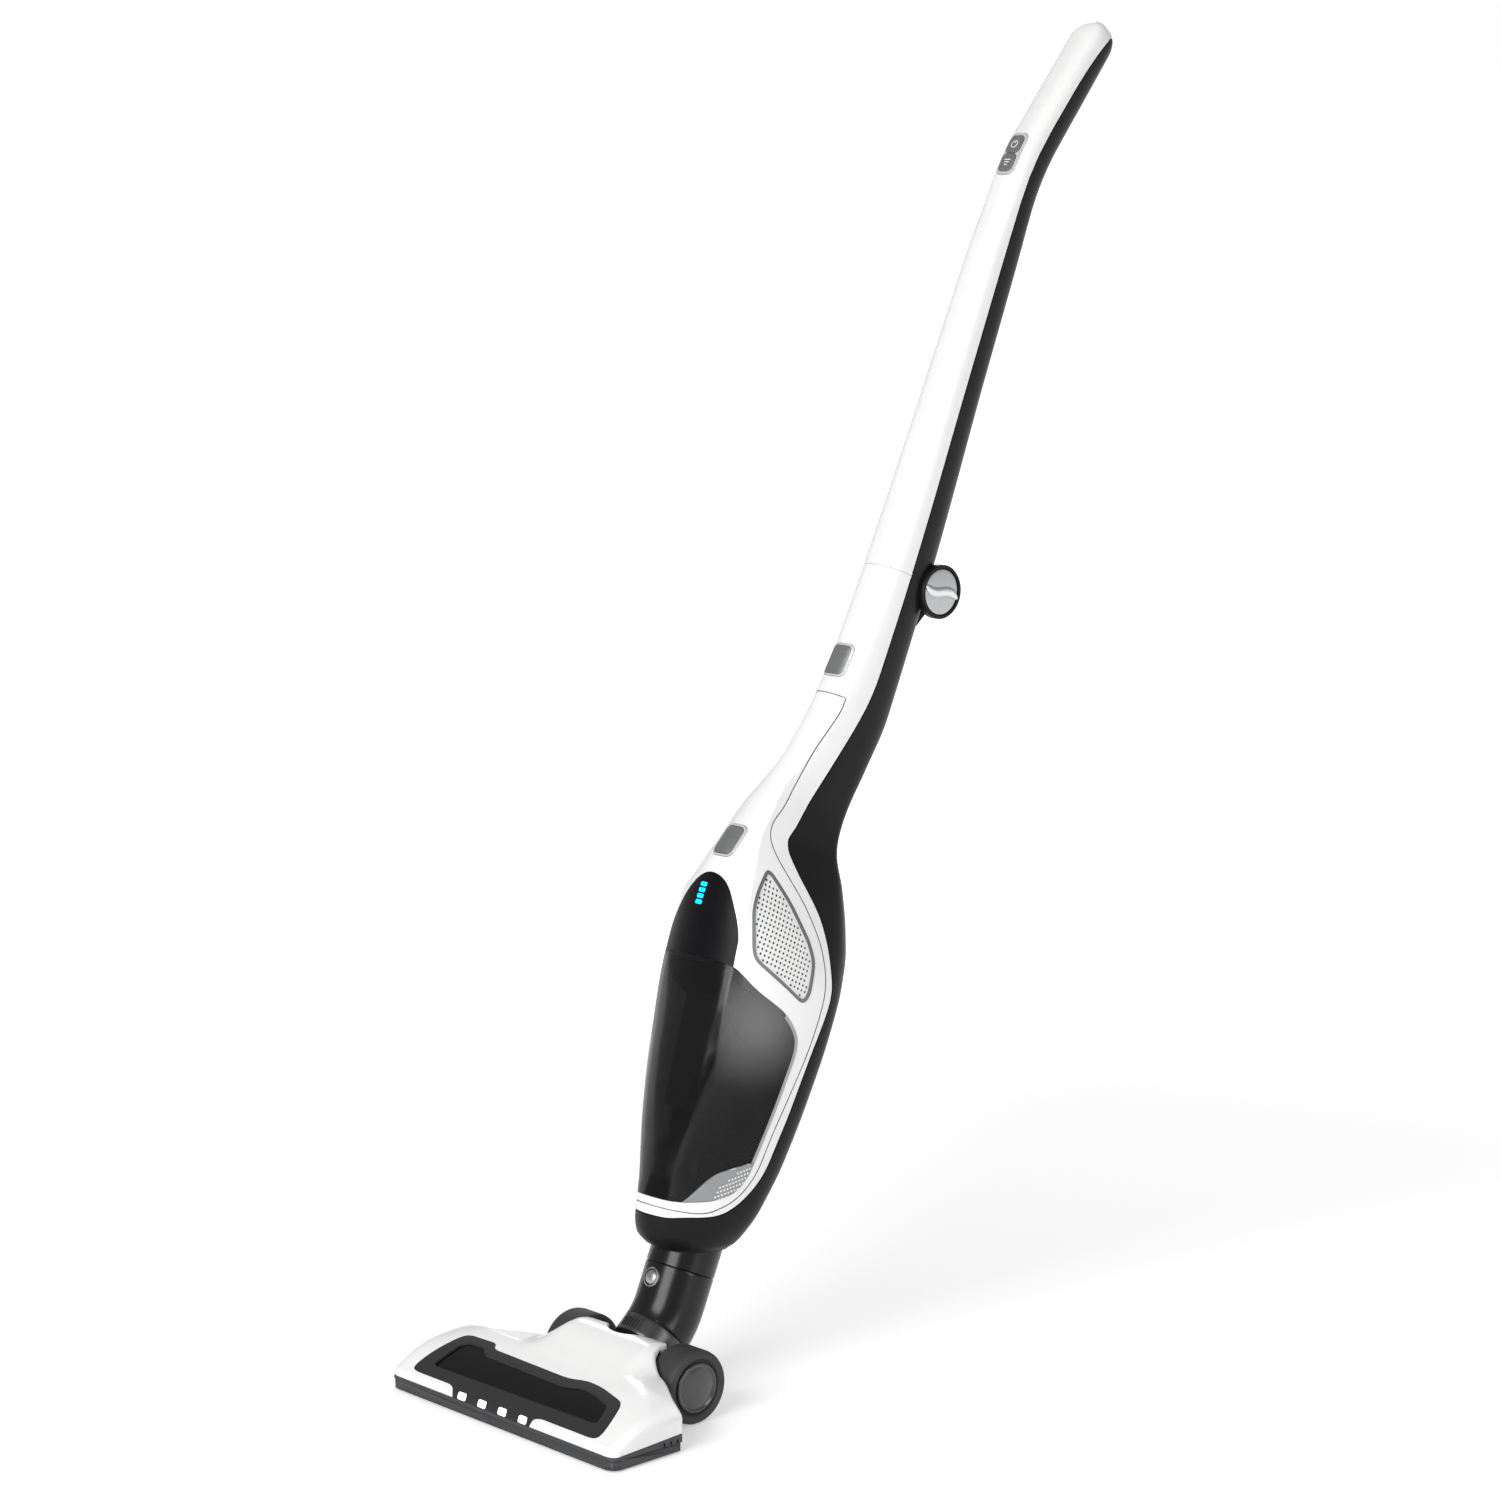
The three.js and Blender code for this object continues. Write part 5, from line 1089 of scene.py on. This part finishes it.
def build_neck():
    tube = neck_tube("elbow", GAP, NECK_LENGTH - GAP, NECK_RADIUS, SPIGOT_BORE)
    spigot = [(0, SPIGOT_BORE), (0, SPIGOT_RADIUS), (40, SPIGOT_RADIUS), (40, SPIGOT_BORE)]
    join(tube, turned("spigot", spigot, (0, NECK_DEPTH, -20), (0, NECK_DEPTH, 20)))
    button = (0, NECK_DEPTH - 40, NECK_BUTTON_HEIGHT), (0, NECK_DEPTH - 10, NECK_BUTTON_HEIGHT)
    carve(tube, rod(*button, 6 + GAP))
    settle(tube, "elbow_shell", STICK, BLACK_GLOSS, "elbow", ["elbow_tube"])
    face = NECK_DEPTH - NECK_RADIUS
    arc = [(2.6 - 2.6 * math.cos(t), 5.9 * math.sin(t)) for t in np.linspace(0.15, math.pi / 2, 9)]
    dome = turned("dome", [(0, 0)] + arc + [(7.6, 5.9), (7.6, 0)],
                  (0, face - 2, NECK_BUTTON_HEIGHT), (0, face + 6, NECK_BUTTON_HEIGHT), 48)
    settle(dome, "neck_button_dome", STICK, SILVER, "neck_button", ["neck_release_button"])
    ring = turned("ring", [(0, 6.4), (0, 7.2), (0.4, 7.6), (2.2, 7.6), (2.2, 6.4)],
                  (0, face - 0.6, NECK_BUTTON_HEIGHT), (0, face + 5, NECK_BUTTON_HEIGHT), 48)
    settle(ring, "neck_button_ring", STICK, STEEL, "elbow")
    build_knuckle()


def build_knuckle():
    """The swivel collar, with seven small ribs and a raised bar on its front."""
    low = NECK_LENGTH + COLLAR_LENGTH
    collar = neck_tube("collar", NECK_LENGTH, low, NECK_RADIUS, SPIGOT_RADIUS + GAP, 0.7)
    for k in range(7):
        turn = -math.pi / 2 + (k - 3) * 0.11
        join(collar, neck_rib(NECK_LENGTH + 4.2, low - 3.5, turn, 1.1))
    join(collar, neck_rib(NECK_LENGTH + 1.4, NECK_LENGTH + 3.2, -math.pi / 2, 20))
    settle(collar, "collar_ring", STICK, COLLAR, "knuckle", ["swivel_collar"])


def neck_rib(start, end, turn, width):
    """A small raised rib on the neck, straight along its axis."""
    rings = []
    for at in (start, end):
        depth, height, lean = along_neck(at)
        ring = []
        for spread, radius in ((-1, -1), (1, -1), (1, 0.7), (-1, 0.7)):
            angle = turn + spread * width / 2 / NECK_RADIUS
            r = NECK_RADIUS + radius
            ring.append((r * math.cos(angle), depth + r * math.sin(angle) * math.cos(lean),
                         height - r * math.sin(angle) * math.sin(lean)))
        rings.append(ring)
    return loft("rib", rings)


# ------------------------------------------------------------ folding handle
SWITCH = (0, HANDLE_STRAIGHT + 36, 18, 37)
split_depth = keyed([(GRIP_END - 105, SEAM_DEPTH), (GRIP_END - 60, -2), (GRIP_END - 30, 0), (GRIP_END - 8, 4),
                     (GRIP_END + 8, 16)])


def handle_split(shift):
    """The seam between the handle's shells, which nears the back towards the grip's end."""
    heights = [490, 540, 620, 700, 780, 841, 861, 881] + list(np.linspace(GRIP_END - 105, GRIP_END + 8, 17))
    line = []
    for height in heights:
        depth, up, lean = stick_axis(height)
        across = split_depth(height) + shift
        line.append((depth + across * math.cos(lean), up - across * math.sin(lean)))
    return line


def build_handle():
    walls = skin(0, BODY_WALL, "handle")
    top, foot = GRIP_END + 30, 490
    front_side = side(handle_split(-GAP / 2) + [(REACH, top), (-REACH, top), (-REACH, foot)])
    back_side = side(handle_split(GAP / 2) + [(REACH, top), (REACH, foot)])
    groove = common(skin(-1, 0.5, "handle"), side(between(handle_split(0), 1.0)))
    switch_hole = front(rounded_box(*grow_box(SWITCH, GAP), 6), -40, 0)
    shell = carve(common(copy_of(walls), front_side), switch_hole, knob_space(), copy_of(groove))
    settle(shell, "handle_front", STICK, WHITE, "handle", ["handle_front_shell"])

    back = common(walls, back_side)
    for low, high in ((-LUG_OUTER, -LUG_HALF - GAP), (LUG_HALF + GAP, LUG_OUTER)):
        web = side([(26, FOLD_HEIGHT), (FOLD_DEPTH + LUG_RADIUS, FOLD_HEIGHT),
                    (27, FOLD_HEIGHT + LUG_WEB_TOP), (20, FOLD_HEIGHT + LUG_WEB_TOP)], low, high)
        lug = join(fold_rod(low, high, LUG_RADIUS), web)
        carve(lug, stick_form("handle", BODY_WALL), stick_form("body", -GAP))
        join(back, lug)
    carve(back, fold_rod(-LUG_HALF - GAP, LUG_HALF + GAP, LUG_SWEEP), fold_rod(-40, 40, BOLT_RADIUS + GAP),
          knob_space(), groove)
    settle(back, "handle_back", STICK, BLACK_SATIN, "handle", ["handle_back_shell"])
    build_switches()
    build_knob()


def build_switches():
    """The bright surround on the grip and its two keys, each with a groove and a sign."""
    plate = common(skin(-0.6, 1.2, "handle"), front(rounded_box(*SWITCH, 6), -40, 0))
    for way in (1, -1):
        carve(plate, front(switch_cap(way, GAP), -40, 0))
    settle(plate, "switch_surround", STICK, CHROME, "handle", ["switch_plate"])
    for way, key, body in ((1, "power", "handle_power"), (-1, "mode", "handle_mode")):
        cap = common(skin(-1.0, 2, "handle"), front(switch_cap(way, 0), -40, 0))
        groove = common(skin(-2, -0.7, "handle"), front(switch_cap(way, 1), -40, 0))
        carve(cap, carve(groove, front(switch_cap(way, -0.9), -40, 0)))
        settle(cap, key + "_key", STICK, SILVER, body, [key + "_button"])
        sign = common(skin(-1.08, -0.5, "handle"), switch_sign(way))
        settle(sign, key + "_sign", STICK, DOT_PRINT, body)


KEY_APART = 8
KEY_SIZE = (14, 15.5, 4)


def switch_sign(way):
    """The generic power ring, or three bars of growing length, raised on a key."""
    middle = SWITCH[1] + way * KEY_APART
    if way > 0:
        sign = front(rounded_box(0, middle, 6.4, 6.4, 3.2, 8), -40, 0)
        carve(sign, front(rounded_box(0, middle, 5.0, 5.0, 2.5, 8), -40, 0),
              front(rounded_box(0, middle + 3, 2.2, 3, 0.2, 2), -40, 0))
        return join(sign, front(rounded_box(0, middle + 2.2, 0.8, 3.2, 0.3, 2), -40, 0))
    bars = [front(rounded_box(0, middle - 2.2 + 2.2 * k, 3 + 1.6 * k, 0.9, 0.4, 3), -40, 0) for k in range(3)]
    return join(*bars)


def switch_cap(way, grow):
    width, height, corner = KEY_SIZE
    return rounded_box(0, SWITCH[1] + way * KEY_APART, width + 2 * grow, height + 2 * grow, corner + grow)


def build_knob():
    """Clamp knob: a dark rim, a brushed face and a raised wave-shaped grip bar."""
    axis = (KNOB_FACE - KNOB_THICK, FOLD_DEPTH, FOLD_HEIGHT), (KNOB_FACE, FOLD_DEPTH, FOLD_HEIGHT)
    rim = turned("rim", [(0, 4.5), (0, KNOB_RADIUS - 0.8), (0.8, KNOB_RADIUS), (6.2, KNOB_RADIUS),
                         (7.2, KNOB_RADIUS - 0.7), (7.2, 18.2), (3.5, 18.2), (3.5, 4.5)], *axis, 96)
    settle(rim, "knob_rim", STICK, BLACK_SATIN, "clamp", ["clamp_knob"])
    disc = turned("disc", [(3.7, 0), (3.7, 17.6), (5.6, 17.9), (6.2, 17.3), (6.5, 15), (6.6, 0)], *axis, 96)
    settle(disc, "knob_disc", STICK, SILVER, "clamp", ["clamp_knob"])
    rings = []
    for u in np.linspace(-1, 1, 41):
        depth = FOLD_DEPTH + 19.2 * u * 0.97
        middle = 2.6 * math.sin(u * math.pi * 0.95)
        half = 3.9 * math.sqrt(max(0.02, 1 - abs(u) ** 5)) + 0.5 * math.cos(u * math.pi)
        rise = 1.4 * (1 - 0.5 * u ** 4)
        arch = [(KNOB_FACE - 1.6 + rise * math.sin(t) ** 0.7, depth,
                 FOLD_HEIGHT + middle + half * math.cos(t)) for t in np.linspace(0, math.pi, 13)]
        rings.append([(KNOB_FACE - 3.0, depth, FOLD_HEIGHT + middle + half)] + arch
                     + [(KNOB_FACE - 3.0, depth, FOLD_HEIGHT + middle - half)])
    settle(loft("wave", rings), "knob_grip", STICK, BRIGHT, "clamp", ["clamp_knob"], sharp=50)


# ---------------------------------------------------------------- floor head
rear_edge = keyed([(0, HUMP_DEPTH), (40, HUMP_DEPTH), (50, 94), (76, 81), (110, HEAD_DEPTH),
                   (150, HEAD_DEPTH)])
END_STEPS = (0.918, 0.94, 0.957, 0.973, 0.984, 0.992, 0.9975, 1)


def head_top(x, y):
    """Height of the white top at a point behind the front edge."""
    if y <= LIP_DEPTH:
        return BASE_TOP + (LIP_HEIGHT - BASE_TOP) * math.sin(max(y, 0) / LIP_DEPTH * math.pi / 2)
    hump = 1 - smooth(abs(x - STICK_OFFSET), 42, 68)
    slope = min((y - LIP_DEPTH) / (HEAD_DEPTH - 4 - LIP_DEPTH), 1)
    rise = (smooth(y, HEAD_DEPTH - 16, HUMP_DEPTH - 14) * (HUMP_HEIGHT - RIDGE_HEIGHT)
            - smooth(y, HUMP_DEPTH - 10, HUMP_DEPTH) * 3) * hump
    return LIP_HEIGHT + (RIDGE_HEIGHT - LIP_HEIGHT) * (1 - (1 - slope) ** 1.5) + rise


def head_section(x, inset):
    """The head's side view section at a place across it, inset by a wall."""
    from_end = HEAD_WIDTH / 2 - abs(x)
    edge = max(0, 1 - from_end / END_RADIUS)
    drop = END_RADIUS * (1 - math.sqrt(max(0, 1 - edge * edge)))
    loss = REAR_FALL * max(0, 1 - from_end / REAR_REACH) ** 2
    ease = drop * 0.6
    rear = rear_edge(abs(x - STICK_OFFSET)) - inset
    begin = inset + ease

    def top(y):
        fall = loss * smooth(y, 12, HEAD_DEPTH - 4)
        return BASE_TOP + (head_top(x, y) - BASE_TOP) * (1 - drop / 50) * (1 - fall) - inset

    points = [(begin, 0 if inset else BASE_TOP)]
    for t in list(np.linspace(0.05, 1, 7)) + list(np.linspace(1, 16, 22)[1:]):
        y = begin + (t * LIP_DEPTH if t <= 1
                     else LIP_DEPTH + (t - 1) / 15 * (HEAD_DEPTH - 6 - LIP_DEPTH - begin))
        points.append((y, top(min(y - inset * 0.7 - ease, HEAD_DEPTH))))
    last = points[-1][0]
    for y in np.linspace(last, rear - 3, 15)[1:]:
        points.append((y, top(y)))
    height = points[-1][1]
    for t in np.linspace(0, math.pi / 2, 5)[1:]:
        points.append((rear - 3 + 3 * math.sin(t), height - 3 * (1 - math.cos(t))))
    points.append((rear, 0 if inset else BASE_TOP))
    return [(x, y, z) for y, z in points]


def head_form(inset):
    """The head's outer form from end to end, inset by a wall."""
    half = HEAD_WIDTH / 2 - inset
    stations = [-half * s for s in END_STEPS[::-1]] + list(np.linspace(-114, 114, 69))
    return loft("head_form", [head_section(x, inset) for x in stations + [half * s for s in END_STEPS]])


WINDOW_OUTLINE = rounded([(-110, 8), (-106, 24), (-98, 44), (-93, 48), (-61, 49), (-58, 43), (31, 41.5),
                          (49, 45.5), (65, 44.5), (96, 38), (103, 22), (106, 9), (102, 5.4), (39, 5.4),
                          (31, -4), (-50, -4), (-58, 5.4), (-105, 5.4)], 7)
PANE_OUTLINE = rounded([(-94, 16), (-89, 38), (-85, 41), (-66, 41.5), (-61, 36), (33, 34.5), (50, 38.5),
                        (63, 37.5), (87, 32), (93, 18), (91, 15.5), (-91, 13.5)], 5)
BORDER_DEPTH = 2.6
PANE_TOP = 1.3
LENS_TOP = 0.1
LAMP_PITCH = 23.5
LAMP_MIDDLE = -9
LAMP_HEIGHT = 14
LAMP_SIZE = (9.2, 5)


def plan(outline):
    """A cutter straight down through the head."""
    return block("plan", outline, -5, REACH)


def head_bore(run, rise, radius, half=0):
    """A rod on the tilt hinge, run across it or outwards from it."""
    start = (STICK_OFFSET - half, HINGE_DEPTH, WHEEL_RADIUS)
    return rod(start, (STICK_OFFSET + half, HINGE_DEPTH + run, WHEEL_RADIUS + rise), radius)


def wheel_bay(way):
    """Room for one rear wheel and for the bracket beside it."""
    inner, outer = WHEEL_INNER - RUNNING_GAP, WHEEL_INNER + WHEEL_WIDTH + 6
    ends = [(STICK_OFFSET + way * d, HINGE_DEPTH, WHEEL_RADIUS) for d in (inner, outer)]
    low, high = sorted((STICK_OFFSET + way * 21.7, STICK_OFFSET + way * 45.1))
    bracket = box_block((low, HINGE_DEPTH - 12.3, 4.7), (high, HINGE_DEPTH + 9.3, WHEEL_RADIUS + 11.3))
    return rod(*ends, WHEEL_ROOM, 96), bracket


def lamp_boxes(grow):
    """The four lamp lenses as boxes through the front lip, grown for their pockets."""
    width, height = LAMP_SIZE
    spots = [LAMP_MIDDLE + (i - 1.5) * LAMP_PITCH for i in range(4)]
    return [block("front", rounded_box(x, LAMP_HEIGHT, width + 2 * grow, height + 2 * grow, 1.3, 5),
                  -1, 5 + grow) for x in spots]


def apron_zone(grow):
    """The dark lower band of the head's walls, which is taller towards the back."""
    low, back = BASE_TOP - 2, HUMP_DEPTH + 9
    return side([(-9, low), (-9, 10.4 + grow), (HEAD_DEPTH, 15 + grow), (back, 15 + grow), (back, low)],
                -REACH - 20, REACH + 20)


def build_head_shell():
    """The white top of the head, cut free for the window, the wheels and the tilting neck."""
    head_skin = carve(head_form(0), head_form(HEAD_WALL))
    shell = carve(copy_of(head_skin), plan(grown(WINDOW_OUTLINE, GAP)), apron_zone(0.25))
    for way in (-1, 1):
        carve(shell, *wheel_bay(way))
    carve(shell, head_bore(0, 0, 16.2, 22))
    for lean in np.linspace(ELBOW_BEND - 0.02, math.pi / 2, 24):
        carve(shell, head_bore(60 * math.sin(lean), 60 * math.cos(lean), NECK_RADIUS + 1.6))
    between = WHEEL_INNER + 1
    carve(shell, box_block((STICK_OFFSET - between, HUMP_DEPTH - 12, 0),
                           (STICK_OFFSET + between, HUMP_DEPTH + 5, HUMP_HEIGHT - 8)))
    settle(shell, "head_cover", HEAD, WHITE, "head", ["head_top_shell"])
    build_window(head_skin)


def build_window(head_skin):
    """Smoked pane in a raised dark border, which drops to the lamps at the front lip."""
    border = common(carve(head_form(0), head_form(BORDER_DEPTH)), plan(WINDOW_OUTLINE))
    carve(border, plan(PANE_OUTLINE), *lamp_boxes(0.2), apron_zone(0.25))
    settle(border, "window_border", HEAD, BORDER, "head", ["brush_window"], sharp=40)
    pane = common(carve(head_form(PANE_TOP), head_form(HEAD_WALL)), plan(grown(PANE_OUTLINE, -0.1)))
    settle(pane, "window_pane", HEAD, WINDOW, "head", ["brush_window"])
    bpy.data.objects.remove(head_skin)
    face = head_form(LENS_TOP)
    for i, lens in enumerate(lamp_boxes(0), 1):
        common(lens, copy_of(face))
        settle(lens, f"lamp_{i}", HEAD, LENS, "head", [f"lamp_lens_{i}"])
    bpy.data.objects.remove(face)


def merged_copy(name):
    """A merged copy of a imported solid, in the row's own metres."""
    twin = copy_of(frame["nodes"][name], name + "_fine")
    mesh = bmesh.new()
    mesh.from_mesh(twin.data)
    bmesh.ops.remove_doubles(mesh, verts=mesh.verts, dist=1e-6)
    mesh.to_mesh(twin.data)
    mesh.free()
    return twin


def build_base():
    """The dark lower band of the head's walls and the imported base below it, with slots at one end."""
    base = merged_copy("head_base")
    apron = common(carve(head_form(0), head_form(HEAD_WALL)), apron_zone(0))
    for way in (-1, 1):
        carve(apron, *wheel_bay(way))
    carve(apron, head_bore(60, 0, NECK_RADIUS + 1.6))
    for k in range(3):
        slot = rounded_box(HEAD_DEPTH - 4.5 - 6.2 * k, 8, 2.3, 7.5, 1.1, 4)
        cutter = block("side", slot, HEAD_WIDTH / 2 - 1.6, HEAD_WIDTH / 2 + 3)
        carve(apron, copy_of(cutter))
        cutter.data.transform(Matrix(HEAD.tolist()))
        carve(base, cutter)
    for vertex in apron.data.vertices:
        if vertex.co.z < BASE_TOP + 0.1:
            vertex.co.z = BASE_TOP - GAP
    settle(apron, "base_apron", HEAD, CHARCOAL, "head")
    settle(base, "base_tray", np.eye(4), CHARCOAL, "head", ["head_base"])


def build_wheels():
    """Each rear wheel as a tyre with rolled edges and a dished cap."""
    width = WHEEL_WIDTH
    tyre = [(0, 4), (0, 24.5), (0.6, 26.6), (2.2, 27.8), (3.4, 28), (width - 5, 28), (width - 2.6, 27.6),
            (width - 1, 26.7), (width - 0.2, 25.4), (width, 24.6), (width, 22.9), (width - 0.5, 22.2),
            (width - 2.2, 20.3), (width - 3, 20.1), (width - 3, 4)]
    dish = [(width - 2.7, 0), (width - 2.7, 19), (width - 1.3, 19), (width - 0.6, 18.4), (width - 0.4, 17.6),
            (width - 0.5, 16.9), (width - 1.3, 16.2), (width - 1.5, 15.6), (width - 1.2, 15.0),
            (width - 0.9, 0)]
    for way, name in ((-1, "left"), (1, "right")):
        ends = [(STICK_OFFSET + way * d, HINGE_DEPTH, WHEEL_RADIUS)
                for d in (WHEEL_INNER, WHEEL_INNER + width)]
        settle(turned("tread", tyre, *ends, 120), "tyre_" + name, HEAD, TREAD, "wheel_" + name,
               ["wheel_" + name], sharp=50)
        settle(turned("cap", dish, *ends, 120), "hub_" + name, HEAD, CAP, "wheel_" + name,
               ["wheel_cap_" + name], sharp=50)


def tuft_tree():
    """A bristle tuft on every point, turned away from the roll's axis."""
    tree, cone, spots = field_tree("tuft_field", "GeometryNodeMeshCone", "Radius Bottom", 0.9, 5.0, 6)
    cone.inputs["Radius Top"].default_value = 0.35
    place = tree.nodes.new("GeometryNodeInputPosition")
    flat = tree.nodes.new("ShaderNodeVectorMath")
    flat.operation = "MULTIPLY_ADD"
    flat.inputs[1].default_value = (0, 1, 1)
    flat.inputs[2].default_value = (0, -BRUSH_DEPTH, -BRUSH_HEIGHT)
    aim = tree.nodes.new("FunctionNodeAlignRotationToVector")
    for a, b in ((place.outputs["Position"], flat.inputs[0]), (flat.outputs[0], aim.inputs["Vector"]),
                 (aim.outputs["Rotation"], spots.inputs["Rotation"]),
                 (cone.outputs["Mesh"], spots.inputs["Instance"])):
        tree.links.new(a, b)
    return tree


def brush_point(x, out=0.0, rise=0.0):
    """A point beside the roll's axis."""
    return (x, BRUSH_DEPTH + out, BRUSH_HEIGHT + rise)


def build_brush():
    """The roll with its end pins, and tufts in two helical bands of three rows."""
    core = turned("core", [(0, 0), (0, 7.8), (2 * BRUSH_HALF, 7.8), (2 * BRUSH_HALF, 0)],
                  brush_point(-BRUSH_HALF), brush_point(BRUSH_HALF), 48)
    join(core, rod(brush_point(-122.9), brush_point(115.4), 2.5, 24),
         rod(brush_point(-122.9), brush_point(-118.1), 6.5, 40))
    settle(core, "brush_core", HEAD, CHARCOAL, "brush", ["brush_roll"])
    spots = []
    for start in (0, math.pi):
        for k in range(150):
            for row in (-0.16, 0.0, 0.16):
                x = lerp(-BRUSH_HALF + 2, BRUSH_HALF - 2, (k + (0.5 if row == 0 else 0)) / 150)
                angle = start + row + (x + BRUSH_HALF) / (2 * BRUSH_HALF) * math.pi
                spots.append(brush_point(x, 7.6 * math.cos(angle), 7.6 * math.sin(angle)))
    tufts = grown_from("tufts", spots, tuft_tree(), Radius=0.85, Length=4.6, Sides=6, Finish=BRISTLE)
    settle(tufts, "brush_tufts", HEAD, BRISTLE, "brush", ["brush_roll"])


# ------------------------------------------------- finishes of kept solids
KEPT = {"lamp_board": BOARD, "front_roller_left": TREAD, "front_roller_right": TREAD,
        "head_duct": BLACK_SATIN, "brush_bearing_left": STEEL, "brush_bearing_right": STEEL,
        "brush_motor": STEEL, "motor_pulley": STEEL, "drive_belt": BELT, "wheel_axle_left": STEEL,
        "wheel_axle_right": STEEL, "suction_motor": STEEL, "suction_fan": SILVER, "battery_pack": CELL,
        "control_board": BOARD, "tilt_barrel": CHARCOAL, "fold_bolt": STEEL}


def finish_kept():
    """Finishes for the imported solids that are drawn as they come."""
    for name, material in KEPT.items():
        solid = frame["nodes"][name]
        solid.data.materials.clear()
        solid.data.materials.append(material)


# ---------------------------------------------------------------- the studio
def seen_by(tree, *rays):
    """One where a ray is of any of the given kinds, else nought."""
    seen = node(tree, "LightPath")
    kinds = [seen.outputs[f"Is {ray} Ray"] for ray in rays]
    found = kinds[0]
    for kind in kinds[1:]:
        found = node(tree, "Math", {0: found, 1: kind}, operation="MAXIMUM").outputs[0]
    return found


def backdrop_material(name, shade, near, far):
    """White to the camera and in reflections, whiter far off, and a plain floor to everything else."""
    material = bpy.data.materials.new(name)
    material.use_nodes = True
    tree = material.node_tree
    tree.nodes.clear()
    place = tree.nodes.new("ShaderNodeTexCoord").outputs["Object"]
    away = node(tree, "VectorMath", {0: place}, operation="LENGTH")
    lift = node(tree, "MapRange", {"Value": away.outputs["Value"], "From Min": 0.7, "From Max": 2.2,
                                   "To Min": near, "To Max": far}, interpolation_type="SMOOTHSTEP")
    strength = node(tree, "Math", {0: seen_by(tree, "Camera", "Glossy", "Transmission"),
                                   1: lift.outputs["Result"]}, operation="MULTIPLY")
    paint = node(tree, "BsdfDiffuse", {"Color": (shade, shade, shade, 1)})
    glow = node(tree, "Emission", {"Color": (1, 1, 1, 1), "Strength": strength.outputs[0]})
    both = node(tree, "AddShader", {0: paint.outputs[0], 1: glow.outputs[0]})
    end = tree.nodes.new("ShaderNodeOutputMaterial")
    tree.links.new(both.outputs[0], end.inputs["Surface"])
    return material


def build_floor():
    corners = [(-60, -60, 0), (60, -60, 0), (60, 60, 0), (-60, 60, 0)]
    floor = new_object("studio_floor", corners, [(0, 1, 2, 3)])
    floor.data.materials.append(backdrop_material("studio_floor_paint", 0.8, 0.38, 1.0))


def build_world():
    world = bpy.data.worlds.new("studio")
    bpy.context.scene.world = world
    world.use_nodes = True
    tree = world.node_tree
    background = tree.nodes["Background"]
    seen = seen_by(tree, "Camera", "Transmission")
    strength = node(tree, "MapRange", {"Value": seen, "To Min": 0.4, "To Max": 1.0})
    tree.links.new(strength.outputs["Result"], background.inputs["Strength"])
    background.inputs["Color"].default_value = (1, 1, 1, 1)


def softbox(name, place, aim, size, power):
    """A rectangular light at a place, turned towards its aim."""
    light = bpy.data.lights.new(name, "AREA")
    light.shape = "RECTANGLE"
    light.size, light.size_y = size
    light.energy = power
    lamp_object = bpy.data.objects.new(name, light)
    bpy.context.scene.collection.objects.link(lamp_object)
    turn = (Vector(aim) - Vector(place)).to_track_quat("-Z", "Y").to_matrix().to_4x4()
    lamp_object.matrix_world = Matrix.Translation(place) @ turn


CAMERA_AZIMUTH = math.radians(47.5)
CAMERA_PITCH = math.radians(9.7)
CAMERA_LENS = 96
CAMERA_SHIFT = 0.0018
CAMERA_PLACE = ((2173 + STICK_OFFSET) / 1000, (HEAD_FRONT - 1757.4) / 1000, 0.982)


def build_camera():
    """A long lens that looks down a little on the front and the right of the head."""
    azimuth, pitch = CAMERA_AZIMUTH, CAMERA_PITCH
    right = Vector((math.cos(azimuth), math.sin(azimuth), 0))
    up = Vector((-math.sin(azimuth) * math.sin(pitch), math.cos(azimuth) * math.sin(pitch), math.cos(pitch)))
    turn = Matrix((right, up, right.cross(up))).transposed().to_4x4()
    camera = bpy.data.cameras.new("studio_camera")
    camera.lens = CAMERA_LENS
    camera.sensor_width = 36
    camera.shift_y = CAMERA_SHIFT
    holder = bpy.data.objects.new("studio_camera", camera)
    holder.matrix_world = Matrix.Translation(CAMERA_PLACE) @ turn
    bpy.context.scene.collection.objects.link(holder)
    bpy.context.scene.camera = holder


# ------------------------------------------------------------- put together
build_body()
build_hand_unit()
build_cup()
build_neck()
build_handle()
build_head_shell()
build_base()
build_wheels()
build_brush()
finish_kept()
for form in FORMS.values():
    bpy.data.objects.remove(form)
build_floor()
build_world()
softbox("key", (0.7, -2.6, 1.5), (0, 0, 0.4), (1.6, 1.6), 64)
softbox("side", (2.6, 0.0, 1.1), (0, 0, 0.4), (0.7, 1.6), 16)
softbox("rim", (-1.8, 1.6, 1.8), (0, 0, 0.6), (1.0, 1.6), 16)
build_camera()
bpy.context.scene.view_settings.view_transform = "Standard"
bpy.context.view_layer.update()
